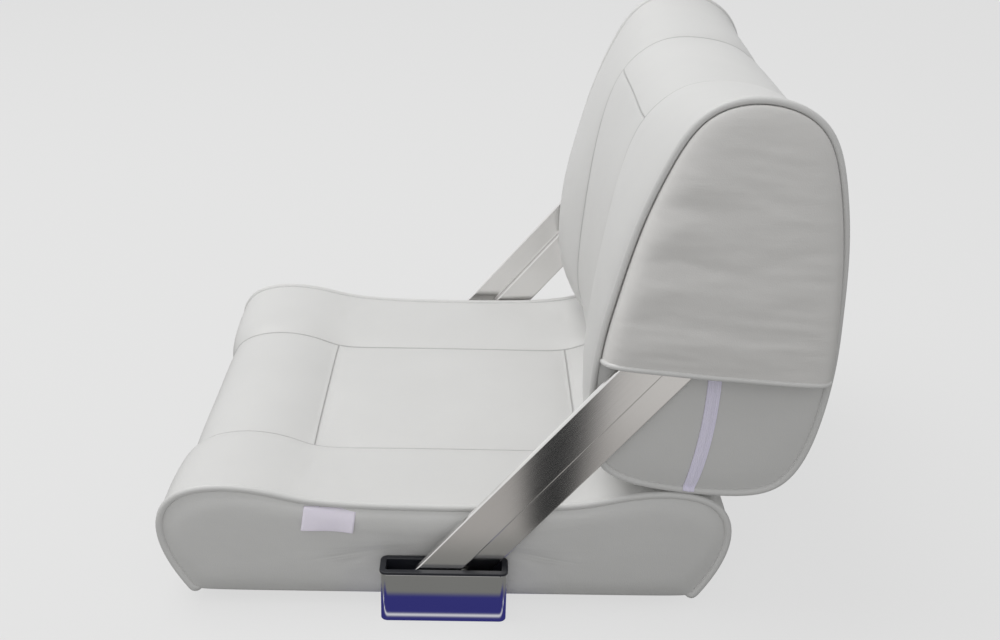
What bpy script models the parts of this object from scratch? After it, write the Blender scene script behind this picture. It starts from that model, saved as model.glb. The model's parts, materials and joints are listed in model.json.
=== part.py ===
"""Boat helm seat with a flip-over backrest.

Metres, +Z up. The sitter faces -Y, and +X is the sitter's left. The origin is at the
centre of the underside. Two flat bars a side swing in a steel socket and carry the
backrest as a parallelogram, so that it turns over to face either way.
"""
import math

import bmesh
import bpy
from mathutils import Vector

# Fits
CLEARANCE = 0.0003
OVERRUN = 0.002
MERGE_DISTANCE = 0.00001

# Both cushions: their one width, the turn of their sides and their sunk seams
HALF_WIDTH = 0.2222
SHOULDER_REACH = 0.0107
TURN_REACH = 0.0037
TURN_INSET = 0.0030
SIDE_INSET = 0.008
SEAM_REACH = 0.010
SEAM_DEPTH = 0.003

# Seat cushion, with its bolsters measured in from the sides
SEAT_HALF_DEPTH = 0.2475
SEAT_UNDERSIDE = 0.007
SEAT_THICKNESS = 0.1095
SEAT_BOLSTER_WIDTH = 0.1132
SEAT_CROWN_REACH = 0.0622
SEAT_INSERT_SHARE = 0.5
SEAT_RISE_SHARE = 0.5

# Half outlines from the top of the cushion round its end to the underside: shares of
# the half depth, and of the thickness above the underside.
SEAT_SIDE_SHARES = (
    (0.285, 0.862), (0.497, 0.920), (0.575, 0.960), (0.735, 1.005), (0.915, 0.925),
    (1.000, 0.655), (0.952, 0.280), (0.886, 0.000), (0.448, 0.000),
)
SEAT_SEAM_SHARES = (
    (0.285, 0.775), (0.492, 0.762), (0.562, 0.850), (0.705, 0.930), (0.868, 0.885),
    (0.945, 0.655), (0.910, 0.280), (0.876, 0.000), (0.448, 0.000),
)
SEAT_MIDDLE_SHARES = (
    (0.285, 0.800), (0.492, 0.762), (0.562, 0.862), (0.705, 0.950), (0.868, 0.895),
    (0.942, 0.655), (0.908, 0.280), (0.876, 0.000), (0.448, 0.000),
)

# Seat board, tee nuts and cross strap
BOARD_SIDE_MARGIN = 0.0272
BOARD_END_MARGIN = 0.0475
BOARD_THICKNESS = 0.015
BOARD_EDGE = 0.0015
STRAP_HALF_DEPTH = 0.050
STRAP_THICKNESS = 0.003
PATTERN_HALF = 0.0635
TEE_BORE_RADIUS = 0.004
TEE_BARREL_RADIUS = 0.0055
TEE_FLANGE_RADIUS = 0.011
TEE_FLANGE_THICKNESS = 0.0015
STRAP_SCREW_END = 0.025
STRAP_SCREW_INSET = 0.018
STRAP_SCREW_LENGTH = 0.0135

# Wood screws, shared by the strap and the brackets
SCREW_SHANK_RADIUS = 0.002
SCREW_HEAD_RADIUS = 0.0045
SCREW_HEAD_HEIGHT = 0.0022
SCREW_SINK = 0.0002

# Socket: a steel box with a plastic liner that holds the bars
SOCKET_WIDTH = 0.025
SOCKET_HALF_DEPTH = 0.0537
SOCKET_HEIGHT = 0.0462
SOCKET_WALL = 0.0025
SOCKET_CORNER = 0.005
SOCKET_CORNER_SEGMENTS = 3
LINER_WALL = 0.0025
LINER_RIM = 0.0034
LINER_FLOOR = 0.0025
LINER_RIM_LIP = 0.0003

# Bars
BAR_WIDTH = 0.030
BAR_THICKNESS = 0.006
BAR_GAP = 0.0015
BAR_LENGTH = 0.330
BAR_LEAN = math.radians(50.0)
BAR_END_STEPS = 10
BAR_HOLE_STEPS = 16
PIVOT_SPACING = 0.030
PIVOT_HEIGHT = 0.036

# Pivots
JOURNAL_RADIUS = 0.005
COLLAR_RADIUS = 0.0068
NECK_RADIUS = 0.004
PIN_HEAD_RADIUS = 0.0085
STUD_HEAD_RADIUS = 0.0070
HEAD_THICKNESS = 0.0015
STUD_CAP_THICKNESS = 0.0020
BUSH_WALL = 0.0019
TURNED_STEPS = 16
SCREW_STEPS = 8

# Backrest, in a leaning frame whose centre is set out from the front bars' upper pivots
BACK_LEAN = math.radians(4.0)
BACK_OFFSET_Y = 0.0284
BACK_OFFSET_Z = 0.0097
BACK_HALF_DEPTH = 0.0945
BACK_HEIGHT_UP = 0.1610
BACK_WING_WIDTH = 0.1322
BACK_CROWN_REACH = 0.0362
BACK_INSERT_SHARE = 0.6
BACK_RISE_SHARE = 0.4
BACK_SHOULDER_SHARE = 0.6

# Half outlines from the top round the rear to the bottom: shares of the half depth and
# of the height above the frame's centre.
BACK_SIDE_SHARES = (
    (0.240, 0.990), (0.520, 0.870), (0.745, 0.585), (0.895, 0.260), (0.980, -0.060),
    (1.000, -0.420), (0.965, -0.760), (0.800, -1.035), (0.400, -1.165),
)
BACK_WING_SHARES = (
    (0.240, 0.985), (0.540, 0.870), (0.795, 0.590), (0.985, 0.270), (1.100, -0.060),
    (1.130, -0.430), (1.070, -0.790), (0.850, -1.070), (0.400, -1.170),
)
BACK_SEAM_SHARES = (
    (0.300, 0.875), (0.600, 0.770), (0.845, 0.585), (0.930, 0.280), (0.945, -0.050),
    (0.935, -0.400), (0.905, -0.760), (0.770, -1.000), (0.400, -1.110),
)
BACK_MIDDLE_SHARES = (
    (0.300, 0.865), (0.600, 0.770), (0.815, 0.575), (0.870, 0.280), (0.880, -0.050),
    (0.875, -0.400), (0.870, -0.760), (0.760, -1.000), (0.400, -1.110),
)

# Backrest core and brackets
CORE_HALF_DEPTH = 0.032
CORE_HALF_HEIGHT = 0.045
BRACKET_THICKNESS = 0.004
BRACKET_MARGIN = 0.003
BRACKET_SCREW_INSET = 0.0075
BRACKET_SCREW_LENGTH = 0.024

# Welts
WELT_RADIUS = 0.0028
WELT_BURY = 0.0006
SEAT_WELT_INSET = 0.0021
BACK_WELT_INSET = 0.0030
WELT_END_RISE = 0.006

# Side flap over the bars
FLAP_THICKNESS = 0.0022
FLAP_EDGE_INSET = 0.0022
FLAP_HEM_DROP = 0.0700
FLAP_WALL_HEM = 0.0200
FLAP_WALL_TOP = 0.0045
FLAP_CROWN = 0.0038
FLAP_FOLD = 0.0009
FLAP_FOLDS = 3
FLAP_RING_SHARES = (1.0, 0.984, 0.90, 0.74, 0.50, 0.25)
FLAP_WALL_SHARES = (0.0, 0.86, 1.0, 1.0, 1.0, 1.0)

# Zip on the left side panel and the blank tag in the left seat seam
ZIP_WIDTH = 0.010
ZIP_THICKNESS = 0.0012
ZIP_TOP_DROP = 0.058
ZIP_BOTTOM_DROP = 0.169
ZIP_OFFSET = -0.0065
SLIDER_LENGTH = 0.014
SLIDER_WIDTH = 0.008
SLIDER_THICKNESS = 0.0022
SLIDER_EDGE = 0.0005
TAG_FRONT_Y = -0.119
TAG_REAR_Y = -0.075
TAG_TOP_Z = 0.0983
TAG_DROP = 0.020
TAG_THICKNESS = 0.0012

# Worked out from the sizes above
SIDES = ((1, "left"), (-1, "right"))
BOARD_HALF_WIDTH = HALF_WIDTH - BOARD_SIDE_MARGIN
BOARD_HALF_DEPTH = SEAT_HALF_DEPTH - BOARD_END_MARGIN
STRAP_SCREW_X = BOARD_HALF_WIDTH - STRAP_SCREW_END
STRAP_SCREW_Y = STRAP_HALF_DEPTH - STRAP_SCREW_INSET
SOCKET_INNER_X = HALF_WIDTH + CLEARANCE
SOCKET_OUTER_X = SOCKET_INNER_X + SOCKET_WIDTH
PLANE_CENTRE = (SOCKET_INNER_X + SOCKET_OUTER_X) / 2
INNER_BAR_IN = PLANE_CENTRE - BAR_GAP / 2 - BAR_THICKNESS
OUTER_BAR_IN = PLANE_CENTRE + BAR_GAP / 2
HALF_SPACING = PIVOT_SPACING / 2
SWING_Y = BAR_LENGTH * math.cos(BAR_LEAN)
TOP_PIVOT_Z = PIVOT_HEIGHT + BAR_LENGTH * math.sin(BAR_LEAN)
BUSH_INNER_RADIUS = JOURNAL_RADIUS + CLEARANCE
BUSH_OUTER_RADIUS = BUSH_INNER_RADIUS + BUSH_WALL
BAR_HOLE_RADIUS = BUSH_OUTER_RADIUS + CLEARANCE
LINER_TOP = SOCKET_HEIGHT + LINER_RIM_LIP + LINER_RIM
LINER_BOTTOM = SOCKET_WALL + CLEARANCE
BRACKET_IN = HALF_WIDTH + CLEARANCE
BRACKET_OUT = BRACKET_IN + BRACKET_THICKNESS
BRACKET_HALF_DEPTH = CORE_HALF_DEPTH - BRACKET_MARGIN
BRACKET_HALF_HEIGHT = CORE_HALF_HEIGHT - BRACKET_MARGIN
BRACKET_SCREW_Y = BRACKET_HALF_DEPTH - BRACKET_SCREW_INSET
BRACKET_SCREW_Z = BRACKET_HALF_HEIGHT - BRACKET_SCREW_INSET
UPRIGHT_PLATE = (math.pi / 2, 0, math.pi / 2)
LEANING = (-BACK_LEAN, 0, 0)
BACK_ORIGIN = (0, BACK_OFFSET_Y, BACK_OFFSET_Z)

STEEL = ((0.62, 0.61, 0.60), 0.18, 1.0)
ZINC = ((0.55, 0.55, 0.53), 0.35, 1.0)
VINYL = ((0.80, 0.80, 0.77), 0.50, 0.0)
WELT_VINYL = ((0.78, 0.78, 0.75), 0.45, 0.0)
BLACK_PLASTIC = ((0.03, 0.03, 0.035), 0.45, 0.0)
NYLON = ((0.85, 0.84, 0.80), 0.50, 0.0)
PLYWOOD = ((0.55, 0.40, 0.24), 0.75, 0.0)
ZIP_TAPE = ((0.72, 0.70, 0.86), 0.65, 0.0)
TAG_CLOTH = ((0.86, 0.85, 0.90), 0.70, 0.0)

for leftover in list(bpy.data.objects):
    bpy.data.objects.remove(leftover, do_unlink=True)

parts = bpy.data.collections.new("boat_helm_seat")
cutters = bpy.data.collections.new("cutters")
bpy.context.scene.collection.children.link(parts)
bpy.context.scene.collection.children.link(cutters)


def finish(name, look):
    """Make a part's own material from its colour, roughness and metallic value."""
    colour, roughness, metallic = look
    material = bpy.data.materials.new(name)
    material.use_nodes = True
    shader = material.node_tree.nodes["Principled BSDF"]
    shader.inputs["Base Color"].default_value = (*colour, 1.0)
    shader.inputs["Roughness"].default_value = roughness
    shader.inputs["Metallic"].default_value = metallic
    return material


def place(name, data, look, parent=None, location=(0, 0, 0), rotation=(0, 0, 0)):
    """Add a named part to the seat, under its axis if it moves."""
    obj = bpy.data.objects.new(name, data)
    data.materials.append(finish(name, look))
    parts.objects.link(obj)
    obj.parent = parent
    obj.location = location
    obj.rotation_euler = rotation
    return obj


def axis_empty(name, location):
    """Mark a joint's axis, which runs along X through the empty."""
    empty = bpy.data.objects.new(name, None)
    parts.objects.link(empty)
    empty.location = location
    return empty


def as_cutter(name, data, parent=None, location=(0, 0, 0), rotation=(0, 0, 0)):
    """Add a hidden cutting body."""
    obj = bpy.data.objects.new(name, data)
    cutters.objects.link(obj)
    obj.parent = parent
    obj.location = location
    obj.rotation_euler = rotation
    obj.hide_render = True
    obj.display_type = "WIRE"
    return obj


def cut(obj, cutter):
    """Take a cutter out of a part."""
    modifier = obj.modifiers.new(cutter.name, "BOOLEAN")
    modifier.operation = "DIFFERENCE"
    modifier.object = cutter


def bevelled(obj, width, segments):
    """Round a part's sharp edges."""
    modifier = obj.modifiers.new("rounded_edges", "BEVEL")
    modifier.width = width
    modifier.segments = segments


def written(name, bm):
    """Turn a working form into a mesh."""
    mesh = bpy.data.meshes.new(name)
    bm.to_mesh(mesh)
    bm.free()
    return mesh


def box_form(low, high):
    """Start a box between two corners."""
    bm = bmesh.new()
    bmesh.ops.create_cube(bm, size=1.0)
    bmesh.ops.scale(bm, vec=Vector(high) - Vector(low), verts=bm.verts)
    bmesh.ops.translate(bm, vec=(Vector(high) + Vector(low)) / 2, verts=bm.verts)
    return bm


def box_mesh(name, low, high):
    """Make a box between two corners."""
    return written(name, box_form(low, high))


def turned_mesh(name, profile, closed=False):
    """Lay out a profile of (radius, height) points, which runs down its outer side."""
    bm = bmesh.new()
    verts = [bm.verts.new((radius, 0, height)) for radius, height in profile]
    for first, second in zip(verts, verts[1:]):
        bm.edges.new((first, second))
    if closed:
        bm.edges.new((verts[-1], verts[0]))
    return written(name, bm)


def spun(obj, steps):
    """Turn a profile about its own Z axis."""
    modifier = obj.modifiers.new("turned", "SCREW")
    modifier.steps = steps
    modifier.render_steps = steps
    modifier.use_merge_vertices = True
    modifier.merge_threshold = MERGE_DISTANCE
    modifier.use_smooth_shade = True
    return obj


def outward(side):
    """Turn a part's own Z axis to point away from the middle of the seat."""
    return (0, side * math.pi / 2, 0)


def arc(centre, radius, start, end, steps):
    """List points along an arc, both ends included."""
    points = []
    for step in range(steps + 1):
        angle = start + (end - start) * step / steps
        points.append((centre[0] + radius * math.cos(angle), centre[1] + radius * math.sin(angle)))
    return points


def flat_curve(name, outlines, thickness):
    """Make a flat plate from closed outlines, the first round its edge and the rest holes."""
    curve = bpy.data.curves.new(name, "CURVE")
    curve.dimensions = "2D"
    curve.fill_mode = "BOTH"
    curve.extrude = thickness / 2
    for outline in outlines:
        spline = curve.splines.new("POLY")
        spline.points.add(len(outline) - 1)
        for point, (x, y) in zip(spline.points, outline):
            point.co = (x, y, 0, 1)
        spline.use_cyclic_u = True
    return curve


def cord_curve(name, points, radius, closed):
    """Make a round cord through the points."""
    curve = bpy.data.curves.new(name, "CURVE")
    curve.dimensions = "3D"
    curve.bevel_depth = radius
    curve.bevel_resolution = 1
    curve.use_fill_caps = True
    spline = curve.splines.new("POLY")
    spline.points.add(len(points) - 1)
    for point, place_at in zip(spline.points, points):
        point.co = (*place_at, 1)
    spline.use_cyclic_u = closed
    return curve


def full_outline(half_shares, half_depth, height, base=0.0):
    """Mirror a half outline into a loop that runs anticlockwise seen from +X."""
    half = [(depth * half_depth, base + rise * height) for depth, rise in half_shares]
    rear = list(reversed(half))
    front = [(-depth, rise) for depth, rise in half]
    return rear + front


def inset(outline, distance):
    """Draw a loop in by a distance, square to itself at each point."""
    moved = []
    count = len(outline)
    for index, (y, z) in enumerate(outline):
        before = Vector(outline[index - 1])
        after = Vector(outline[(index + 1) % count])
        along = (after - before).normalized()
        moved.append((y - along.y * distance, z + along.x * distance))
    return moved


def between(first, second, share):
    """Blend two loops."""
    return [
        (a[0] + (b[0] - a[0]) * share, a[1] + (b[1] - a[1]) * share)
        for a, b in zip(first, second)
    ]


def rounded(outline, rounds):
    """Smooth a loop the way a subdivision surface smooths its cage."""
    for _ in range(rounds):
        count = len(outline)
        finer = []
        for index, point in enumerate(outline):
            before = Vector(outline[index - 1])
            here = Vector(point)
            after = Vector(outline[(index + 1) % count])
            finer.append(tuple((before + here * 6 + after) / 8))
            finer.append(tuple((here + after) / 2))
        outline = finer
    return outline


def half_loft(name, rings):
    """Skin the loops of one half, from the middle plane out to its closed end."""
    bm = bmesh.new()
    loops = [[bm.verts.new((x, y, z)) for y, z in outline] for x, outline in rings]
    for inner, outer in zip(loops, loops[1:]):
        count = len(inner)
        for index in range(count):
            following = (index + 1) % count
            bm.faces.new((inner[index], inner[following], outer[following], outer[index]))
    bm.faces.new(loops[-1])
    mesh = written(name, bm)
    mesh.shade_smooth()
    return mesh


def cushioned(obj):
    """Mirror a half cushion and round it off."""
    mirror = obj.modifiers.new("other_half", "MIRROR")
    mirror.merge_threshold = MERGE_DISTANCE
    soft = obj.modifiers.new("soft", "SUBSURF")
    soft.levels = 1
    soft.render_levels = 1


front_axis = axis_empty("arm_swing_axis", (0, -HALF_SPACING, PIVOT_HEIGHT))
rear_axis = axis_empty("rear_arm_swing_axis", (0, HALF_SPACING, PIVOT_HEIGHT))
back_axis = axis_empty("backrest_pivot_axis", (0, SWING_Y - HALF_SPACING, TOP_PIVOT_Z))


def countersunk_profile(length, extra):
    """Profile of a wood screw, head down, or of its hole with the extra all round."""
    neck = SCREW_SINK + SCREW_HEAD_HEIGHT
    return (
        (0, length + extra),
        (SCREW_SHANK_RADIUS + extra, length + extra),
        (SCREW_SHANK_RADIUS + extra, neck),
        (SCREW_HEAD_RADIUS + extra, SCREW_SINK - extra),
        (0, SCREW_SINK - extra),
    )


def seat_side_outline():
    """Outline of the seat cushion at its side."""
    return full_outline(SEAT_SIDE_SHARES, SEAT_HALF_DEPTH, SEAT_THICKNESS, SEAT_UNDERSIDE)


def build_seat_cushion():
    """Foam and cover: two side bolsters, front and rear rolls and a sunk insert."""
    side = seat_side_outline()
    seam = full_outline(SEAT_SEAM_SHARES, SEAT_HALF_DEPTH, SEAT_THICKNESS, SEAT_UNDERSIDE)
    middle = full_outline(SEAT_MIDDLE_SHARES, SEAT_HALF_DEPTH, SEAT_THICKNESS, SEAT_UNDERSIDE)
    seam_x = HALF_WIDTH - SEAT_BOLSTER_WIDTH
    rings = (
        (0, middle),
        (seam_x - SEAM_REACH, between(middle, seam, SEAT_INSERT_SHARE)),
        (seam_x, inset(seam, SEAM_DEPTH)),
        (seam_x + SEAM_REACH, between(seam, side, SEAT_RISE_SHARE)),
        (HALF_WIDTH - SEAT_CROWN_REACH, side),
        (HALF_WIDTH - SHOULDER_REACH, side),
        (HALF_WIDTH - TURN_REACH, inset(side, TURN_INSET)),
        (HALF_WIDTH, inset(side, SIDE_INSET)),
    )
    cushion = place("seat_cushion", half_loft("seat_cushion", rings), VINYL)
    cushioned(cushion)
    board_room = box_mesh(
        "board_room",
        (-BOARD_HALF_WIDTH - CLEARANCE, -BOARD_HALF_DEPTH - CLEARANCE, -OVERRUN),
        (BOARD_HALF_WIDTH + CLEARANCE, BOARD_HALF_DEPTH + CLEARANCE, BOARD_THICKNESS + CLEARANCE),
    )
    cut(cushion, as_cutter("board_room", board_room))
    for side_sign, side_name in SIDES:
        near = side_sign * (SOCKET_INNER_X - CLEARANCE * 2 - HEAD_THICKNESS - CLEARANCE)
        far = side_sign * (SOCKET_OUTER_X + OVERRUN)
        room = box_mesh(
            "socket_room_" + side_name,
            (min(near, far), -SOCKET_HALF_DEPTH - CLEARANCE, -OVERRUN),
            (max(near, far), SOCKET_HALF_DEPTH + CLEARANCE, LINER_TOP + CLEARANCE),
        )
        cut(cushion, as_cutter("socket_room_" + side_name, room))


def build_seat_base():
    """Plywood board, its tee nuts, and the steel strap with its screws."""
    board = place(
        "seat_board",
        box_mesh(
            "seat_board",
            (-BOARD_HALF_WIDTH, -BOARD_HALF_DEPTH, 0),
            (BOARD_HALF_WIDTH, BOARD_HALF_DEPTH, BOARD_THICKNESS),
        ),
        PLYWOOD,
    )
    bevelled(board, BOARD_EDGE, 1)
    strap_end = SOCKET_INNER_X - CLEARANCE
    strap = place(
        "cross_strap",
        box_mesh(
            "cross_strap",
            (-strap_end, -STRAP_HALF_DEPTH, 0),
            (strap_end, STRAP_HALF_DEPTH, STRAP_THICKNESS),
        ),
        STEEL,
    )
    groove = box_mesh(
        "strap_groove",
        (-strap_end, -STRAP_HALF_DEPTH - CLEARANCE, -OVERRUN),
        (strap_end, STRAP_HALF_DEPTH + CLEARANCE, STRAP_THICKNESS + CLEARANCE),
    )
    cut(board, as_cutter("strap_groove", groove))
    places = [(x, y) for x in (-1, 1) for y in (-1, 1)]
    for number, (across, along) in enumerate(places, 1):
        build_tee_nut(board, number, across * PATTERN_HALF, along * PATTERN_HALF)
        build_strap_screw(board, strap, number, across * STRAP_SCREW_X, along * STRAP_SCREW_Y)


def build_tee_nut(board, number, x, y):
    """A threaded insert for the pedestal's bolts, let into the top of the board."""
    top = BOARD_THICKNESS - SCREW_SINK
    shoulder = top - TEE_FLANGE_THICKNESS
    profile = (
        (TEE_BORE_RADIUS, top),
        (TEE_FLANGE_RADIUS, top),
        (TEE_FLANGE_RADIUS, shoulder),
        (TEE_BARREL_RADIUS, shoulder),
        (TEE_BARREL_RADIUS, CLEARANCE),
        (TEE_BORE_RADIUS, CLEARANCE),
    )
    name = f"tee_nut_{number}"
    nut = place(name, turned_mesh(name, profile, closed=True), ZINC, None, (x, y, 0))
    spun(nut, TURNED_STEPS)
    hole_profile = (
        (0, BOARD_THICKNESS + OVERRUN),
        (TEE_FLANGE_RADIUS + CLEARANCE, BOARD_THICKNESS + OVERRUN),
        (TEE_FLANGE_RADIUS + CLEARANCE, shoulder - CLEARANCE),
        (TEE_BARREL_RADIUS + CLEARANCE, shoulder - CLEARANCE),
        (TEE_BARREL_RADIUS + CLEARANCE, -OVERRUN),
        (0, -OVERRUN),
    )
    hole = as_cutter(name + "_hole", turned_mesh(name + "_hole", hole_profile), None, (x, y, 0))
    spun(hole, TURNED_STEPS)
    cut(board, hole)


def build_strap_screw(board, strap, number, x, y):
    """A countersunk wood screw up through the strap into the board."""
    name = f"strap_screw_{number}"
    profile = countersunk_profile(STRAP_SCREW_LENGTH, 0)
    screw = place(name, turned_mesh(name, profile), ZINC, None, (x, y, 0))
    spun(screw, SCREW_STEPS)
    hole_name = name + "_hole"
    hole_mesh = turned_mesh(hole_name, countersunk_profile(STRAP_SCREW_LENGTH, CLEARANCE))
    hole = as_cutter(hole_name, hole_mesh, None, (x, y, 0))
    spun(hole, SCREW_STEPS)
    cut(strap, hole)
    cut(board, hole)


def upright_box(low, high):
    """Start a box with the socket's round upright corners."""
    bm = box_form(low, high)
    half_height = (high[2] - low[2]) / 2
    upright = [
        edge for edge in bm.edges
        if abs(edge.verts[0].co.z - edge.verts[1].co.z) > half_height
    ]
    bmesh.ops.bevel(
        bm, geom=upright, offset=SOCKET_CORNER, offset_type="OFFSET",
        segments=SOCKET_CORNER_SEGMENTS, profile=0.5, affect="EDGES",
        clamp_overlap=True, material=-1,
    )
    return bm


def end_face(bm, upper):
    """Find the top or the bottom face of an upright form."""
    return (max if upper else min)(bm.faces, key=lambda face: face.calc_center_median().z)


def build_socket(side, side_name):
    """Steel box, open at the top, with the holes for the pivot pins in its inner wall."""
    near, far = sorted((side * SOCKET_INNER_X, side * SOCKET_OUTER_X))
    bm = upright_box((near, -SOCKET_HALF_DEPTH, 0), (far, SOCKET_HALF_DEPTH, SOCKET_HEIGHT))
    bmesh.ops.delete(bm, geom=[end_face(bm, True)], context="FACES_ONLY")
    name = "socket_" + side_name
    socket = place(name, written(name, bm), STEEL)
    wall = socket.modifiers.new("wall", "SOLIDIFY")
    wall.thickness = SOCKET_WALL
    wall.offset = -1
    wall.use_even_offset = True
    return socket


def build_liner(side, side_name):
    """Black plastic cup inside the socket, with a rim over the steel edge."""
    room = SOCKET_WALL + CLEARANCE
    near, far = sorted((side * SOCKET_INNER_X, side * SOCKET_OUTER_X))
    rim_base = SOCKET_HEIGHT + LINER_RIM_LIP
    bm = upright_box((near, -SOCKET_HALF_DEPTH, rim_base), (far, SOCKET_HALF_DEPTH, LINER_TOP))
    sink_face(bm, end_face(bm, False), room, LINER_BOTTOM - rim_base)
    pocket_drop = LINER_TOP - LINER_BOTTOM - LINER_FLOOR
    sink_face(bm, end_face(bm, True), room + LINER_WALL, -pocket_drop)
    name = "socket_liner_" + side_name
    return place(name, written(name, bm), BLACK_PLASTIC)


def sink_face(bm, face, margin, rise):
    """Inset a level face by a margin and move its middle up or down."""
    bmesh.ops.inset_region(bm, faces=[face], thickness=margin, use_even_offset=True)
    lifted = bmesh.ops.extrude_discrete_faces(bm, faces=[face])["faces"][0]
    bmesh.ops.translate(bm, vec=(0, 0, rise), verts=lifted.verts)


def build_pin(side, side_name, which, y, collar_end, carriers):
    """Pivot pin through the socket's inner wall, the bar and both liner walls."""
    head_out = SOCKET_INNER_X - CLEARANCE
    head_in = head_out - HEAD_THICKNESS
    steel_in = SOCKET_OUTER_X - SOCKET_WALL
    tip = steel_in - CLEARANCE
    if collar_end:
        thick = COLLAR_RADIUS
        step = ((JOURNAL_RADIUS, collar_end), (thick, collar_end))
    else:
        thick = JOURNAL_RADIUS
        step = ()
    profile = (
        (0, tip), (JOURNAL_RADIUS, tip), *step,
        (thick, head_out), (PIN_HEAD_RADIUS, head_out), (PIN_HEAD_RADIUS, head_in), (0, head_in),
    )
    hole_end = steel_in - CLEARANCE / 2
    hole_step = tuple((radius + CLEARANCE, height) for radius, height in step)
    hole_profile = (
        (0, hole_end), (JOURNAL_RADIUS + CLEARANCE, hole_end), *hole_step,
        (thick + CLEARANCE, head_in), (0, head_in),
    )
    name = f"lower_{which}_pin_{side_name}"
    spot = (0, y, PIVOT_HEIGHT)
    spun(place(name, turned_mesh(name, profile), ZINC, None, spot, outward(side)), TURNED_STEPS)
    hole_name = name + "_hole"
    hole = as_cutter(hole_name, turned_mesh(hole_name, hole_profile), None, spot, outward(side))
    spun(hole, TURNED_STEPS)
    for obj in carriers:
        cut(obj, hole)


def build_bar(side, side_name, which, axis, inner_face):
    """One flat bar with round ends, a bore at each end and a nylon bush in each bore."""
    radius = BAR_WIDTH / 2
    rise = TOP_PIVOT_Z - PIVOT_HEIGHT
    quarter = math.pi / 2
    outline = arc((0, 0), radius, BAR_LEAN + quarter, BAR_LEAN + 3 * quarter, BAR_END_STEPS)
    outline += arc(
        (SWING_Y, rise), radius, BAR_LEAN - quarter, BAR_LEAN + quarter, BAR_END_STEPS
    )
    holes = [
        arc(centre, BAR_HOLE_RADIUS, 0, math.tau, BAR_HOLE_STEPS)[:-1]
        for centre in ((0, 0), (SWING_Y, rise))
    ]
    name = f"{which}_link_{side_name}"
    middle = side * (inner_face + BAR_THICKNESS / 2)
    curve = flat_curve(name, [outline, *holes], BAR_THICKNESS)
    place(name, curve, STEEL, axis, (middle, 0, 0), UPRIGHT_PLATE)
    outer_face = inner_face + BAR_THICKNESS
    ring = (
        (BUSH_INNER_RADIUS, outer_face),
        (BUSH_OUTER_RADIUS, outer_face),
        (BUSH_OUTER_RADIUS, inner_face),
        (BUSH_INNER_RADIUS, inner_face),
    )
    for end, spot in (("lower", (0, 0, 0)), ("upper", (0, SWING_Y, rise))):
        bush_name = f"{end}_{which}_bush_{side_name}"
        bush_mesh = turned_mesh(bush_name, ring, closed=True)
        spun(place(bush_name, bush_mesh, NYLON, axis, spot, outward(side)), TURNED_STEPS)


def build_stud(side, side_name, which, y, bar_face, bracket, core):
    """Upper pivot stud, riveted into the bracket, with a cap outside the bar."""
    bar_out = bar_face + BAR_THICKNESS + CLEARANCE
    bracket_face = BRACKET_OUT + CLEARANCE
    inner_end = HALF_WIDTH - HEAD_THICKNESS
    profile = (
        (0, bar_out + STUD_CAP_THICKNESS),
        (STUD_HEAD_RADIUS, bar_out + STUD_CAP_THICKNESS),
        (STUD_HEAD_RADIUS, bar_out),
        (JOURNAL_RADIUS, bar_out),
        (JOURNAL_RADIUS, bar_face - CLEARANCE),
        (COLLAR_RADIUS, bar_face - CLEARANCE),
        (COLLAR_RADIUS, bracket_face),
        (NECK_RADIUS, bracket_face),
        (NECK_RADIUS, HALF_WIDTH),
        (STUD_HEAD_RADIUS, HALF_WIDTH),
        (STUD_HEAD_RADIUS, inner_end),
        (0, inner_end),
    )
    name = f"upper_{which}_stud_{side_name}"
    spot = (0, y, 0)
    spun(place(name, turned_mesh(name, profile), ZINC, back_axis, spot, outward(side)), TURNED_STEPS)
    pocket = inner_end - CLEARANCE
    hole_profile = (
        (0, BRACKET_OUT + OVERRUN),
        (NECK_RADIUS + CLEARANCE, BRACKET_OUT + OVERRUN),
        (NECK_RADIUS + CLEARANCE, HALF_WIDTH + CLEARANCE / 2),
        (STUD_HEAD_RADIUS + CLEARANCE, HALF_WIDTH + CLEARANCE / 2),
        (STUD_HEAD_RADIUS + CLEARANCE, pocket),
        (0, pocket),
    )
    hole_name = name + "_hole"
    hole_mesh = turned_mesh(hole_name, hole_profile)
    hole = spun(as_cutter(hole_name, hole_mesh, back_axis, spot, outward(side)), TURNED_STEPS)
    cut(bracket, hole)
    cut(core, hole)


def build_bracket(side, side_name, core):
    """Steel plate on the end of the backrest's core, with its four wood screws."""
    name = "backrest_bracket_" + side_name
    near, far = sorted((side * BRACKET_IN, side * BRACKET_OUT))
    low = (near, HALF_SPACING - BRACKET_HALF_DEPTH, -BRACKET_HALF_HEIGHT)
    high = (far, HALF_SPACING + BRACKET_HALF_DEPTH, BRACKET_HALF_HEIGHT)
    bracket = place(name, box_mesh(name, low, high), STEEL, back_axis)
    places = [(y, z) for y in (-1, 1) for z in (-1, 1)]
    for number, (along, up) in enumerate(places, 1):
        screw_name = f"bracket_screw_{side_name}_{number}"
        spot = (
            side * BRACKET_OUT,
            HALF_SPACING + along * BRACKET_SCREW_Y,
            up * BRACKET_SCREW_Z,
        )
        screw_mesh = turned_mesh(screw_name, countersunk_profile(BRACKET_SCREW_LENGTH, 0))
        inward = outward(-side)
        spun(place(screw_name, screw_mesh, ZINC, back_axis, spot, inward), SCREW_STEPS)
        hole_name = screw_name + "_hole"
        hole_profile = countersunk_profile(BRACKET_SCREW_LENGTH, CLEARANCE)
        hole = as_cutter(hole_name, turned_mesh(hole_name, hole_profile), back_axis, spot, inward)
        spun(hole, SCREW_STEPS)
        cut(bracket, hole)
        cut(core, hole)
    return bracket


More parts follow.
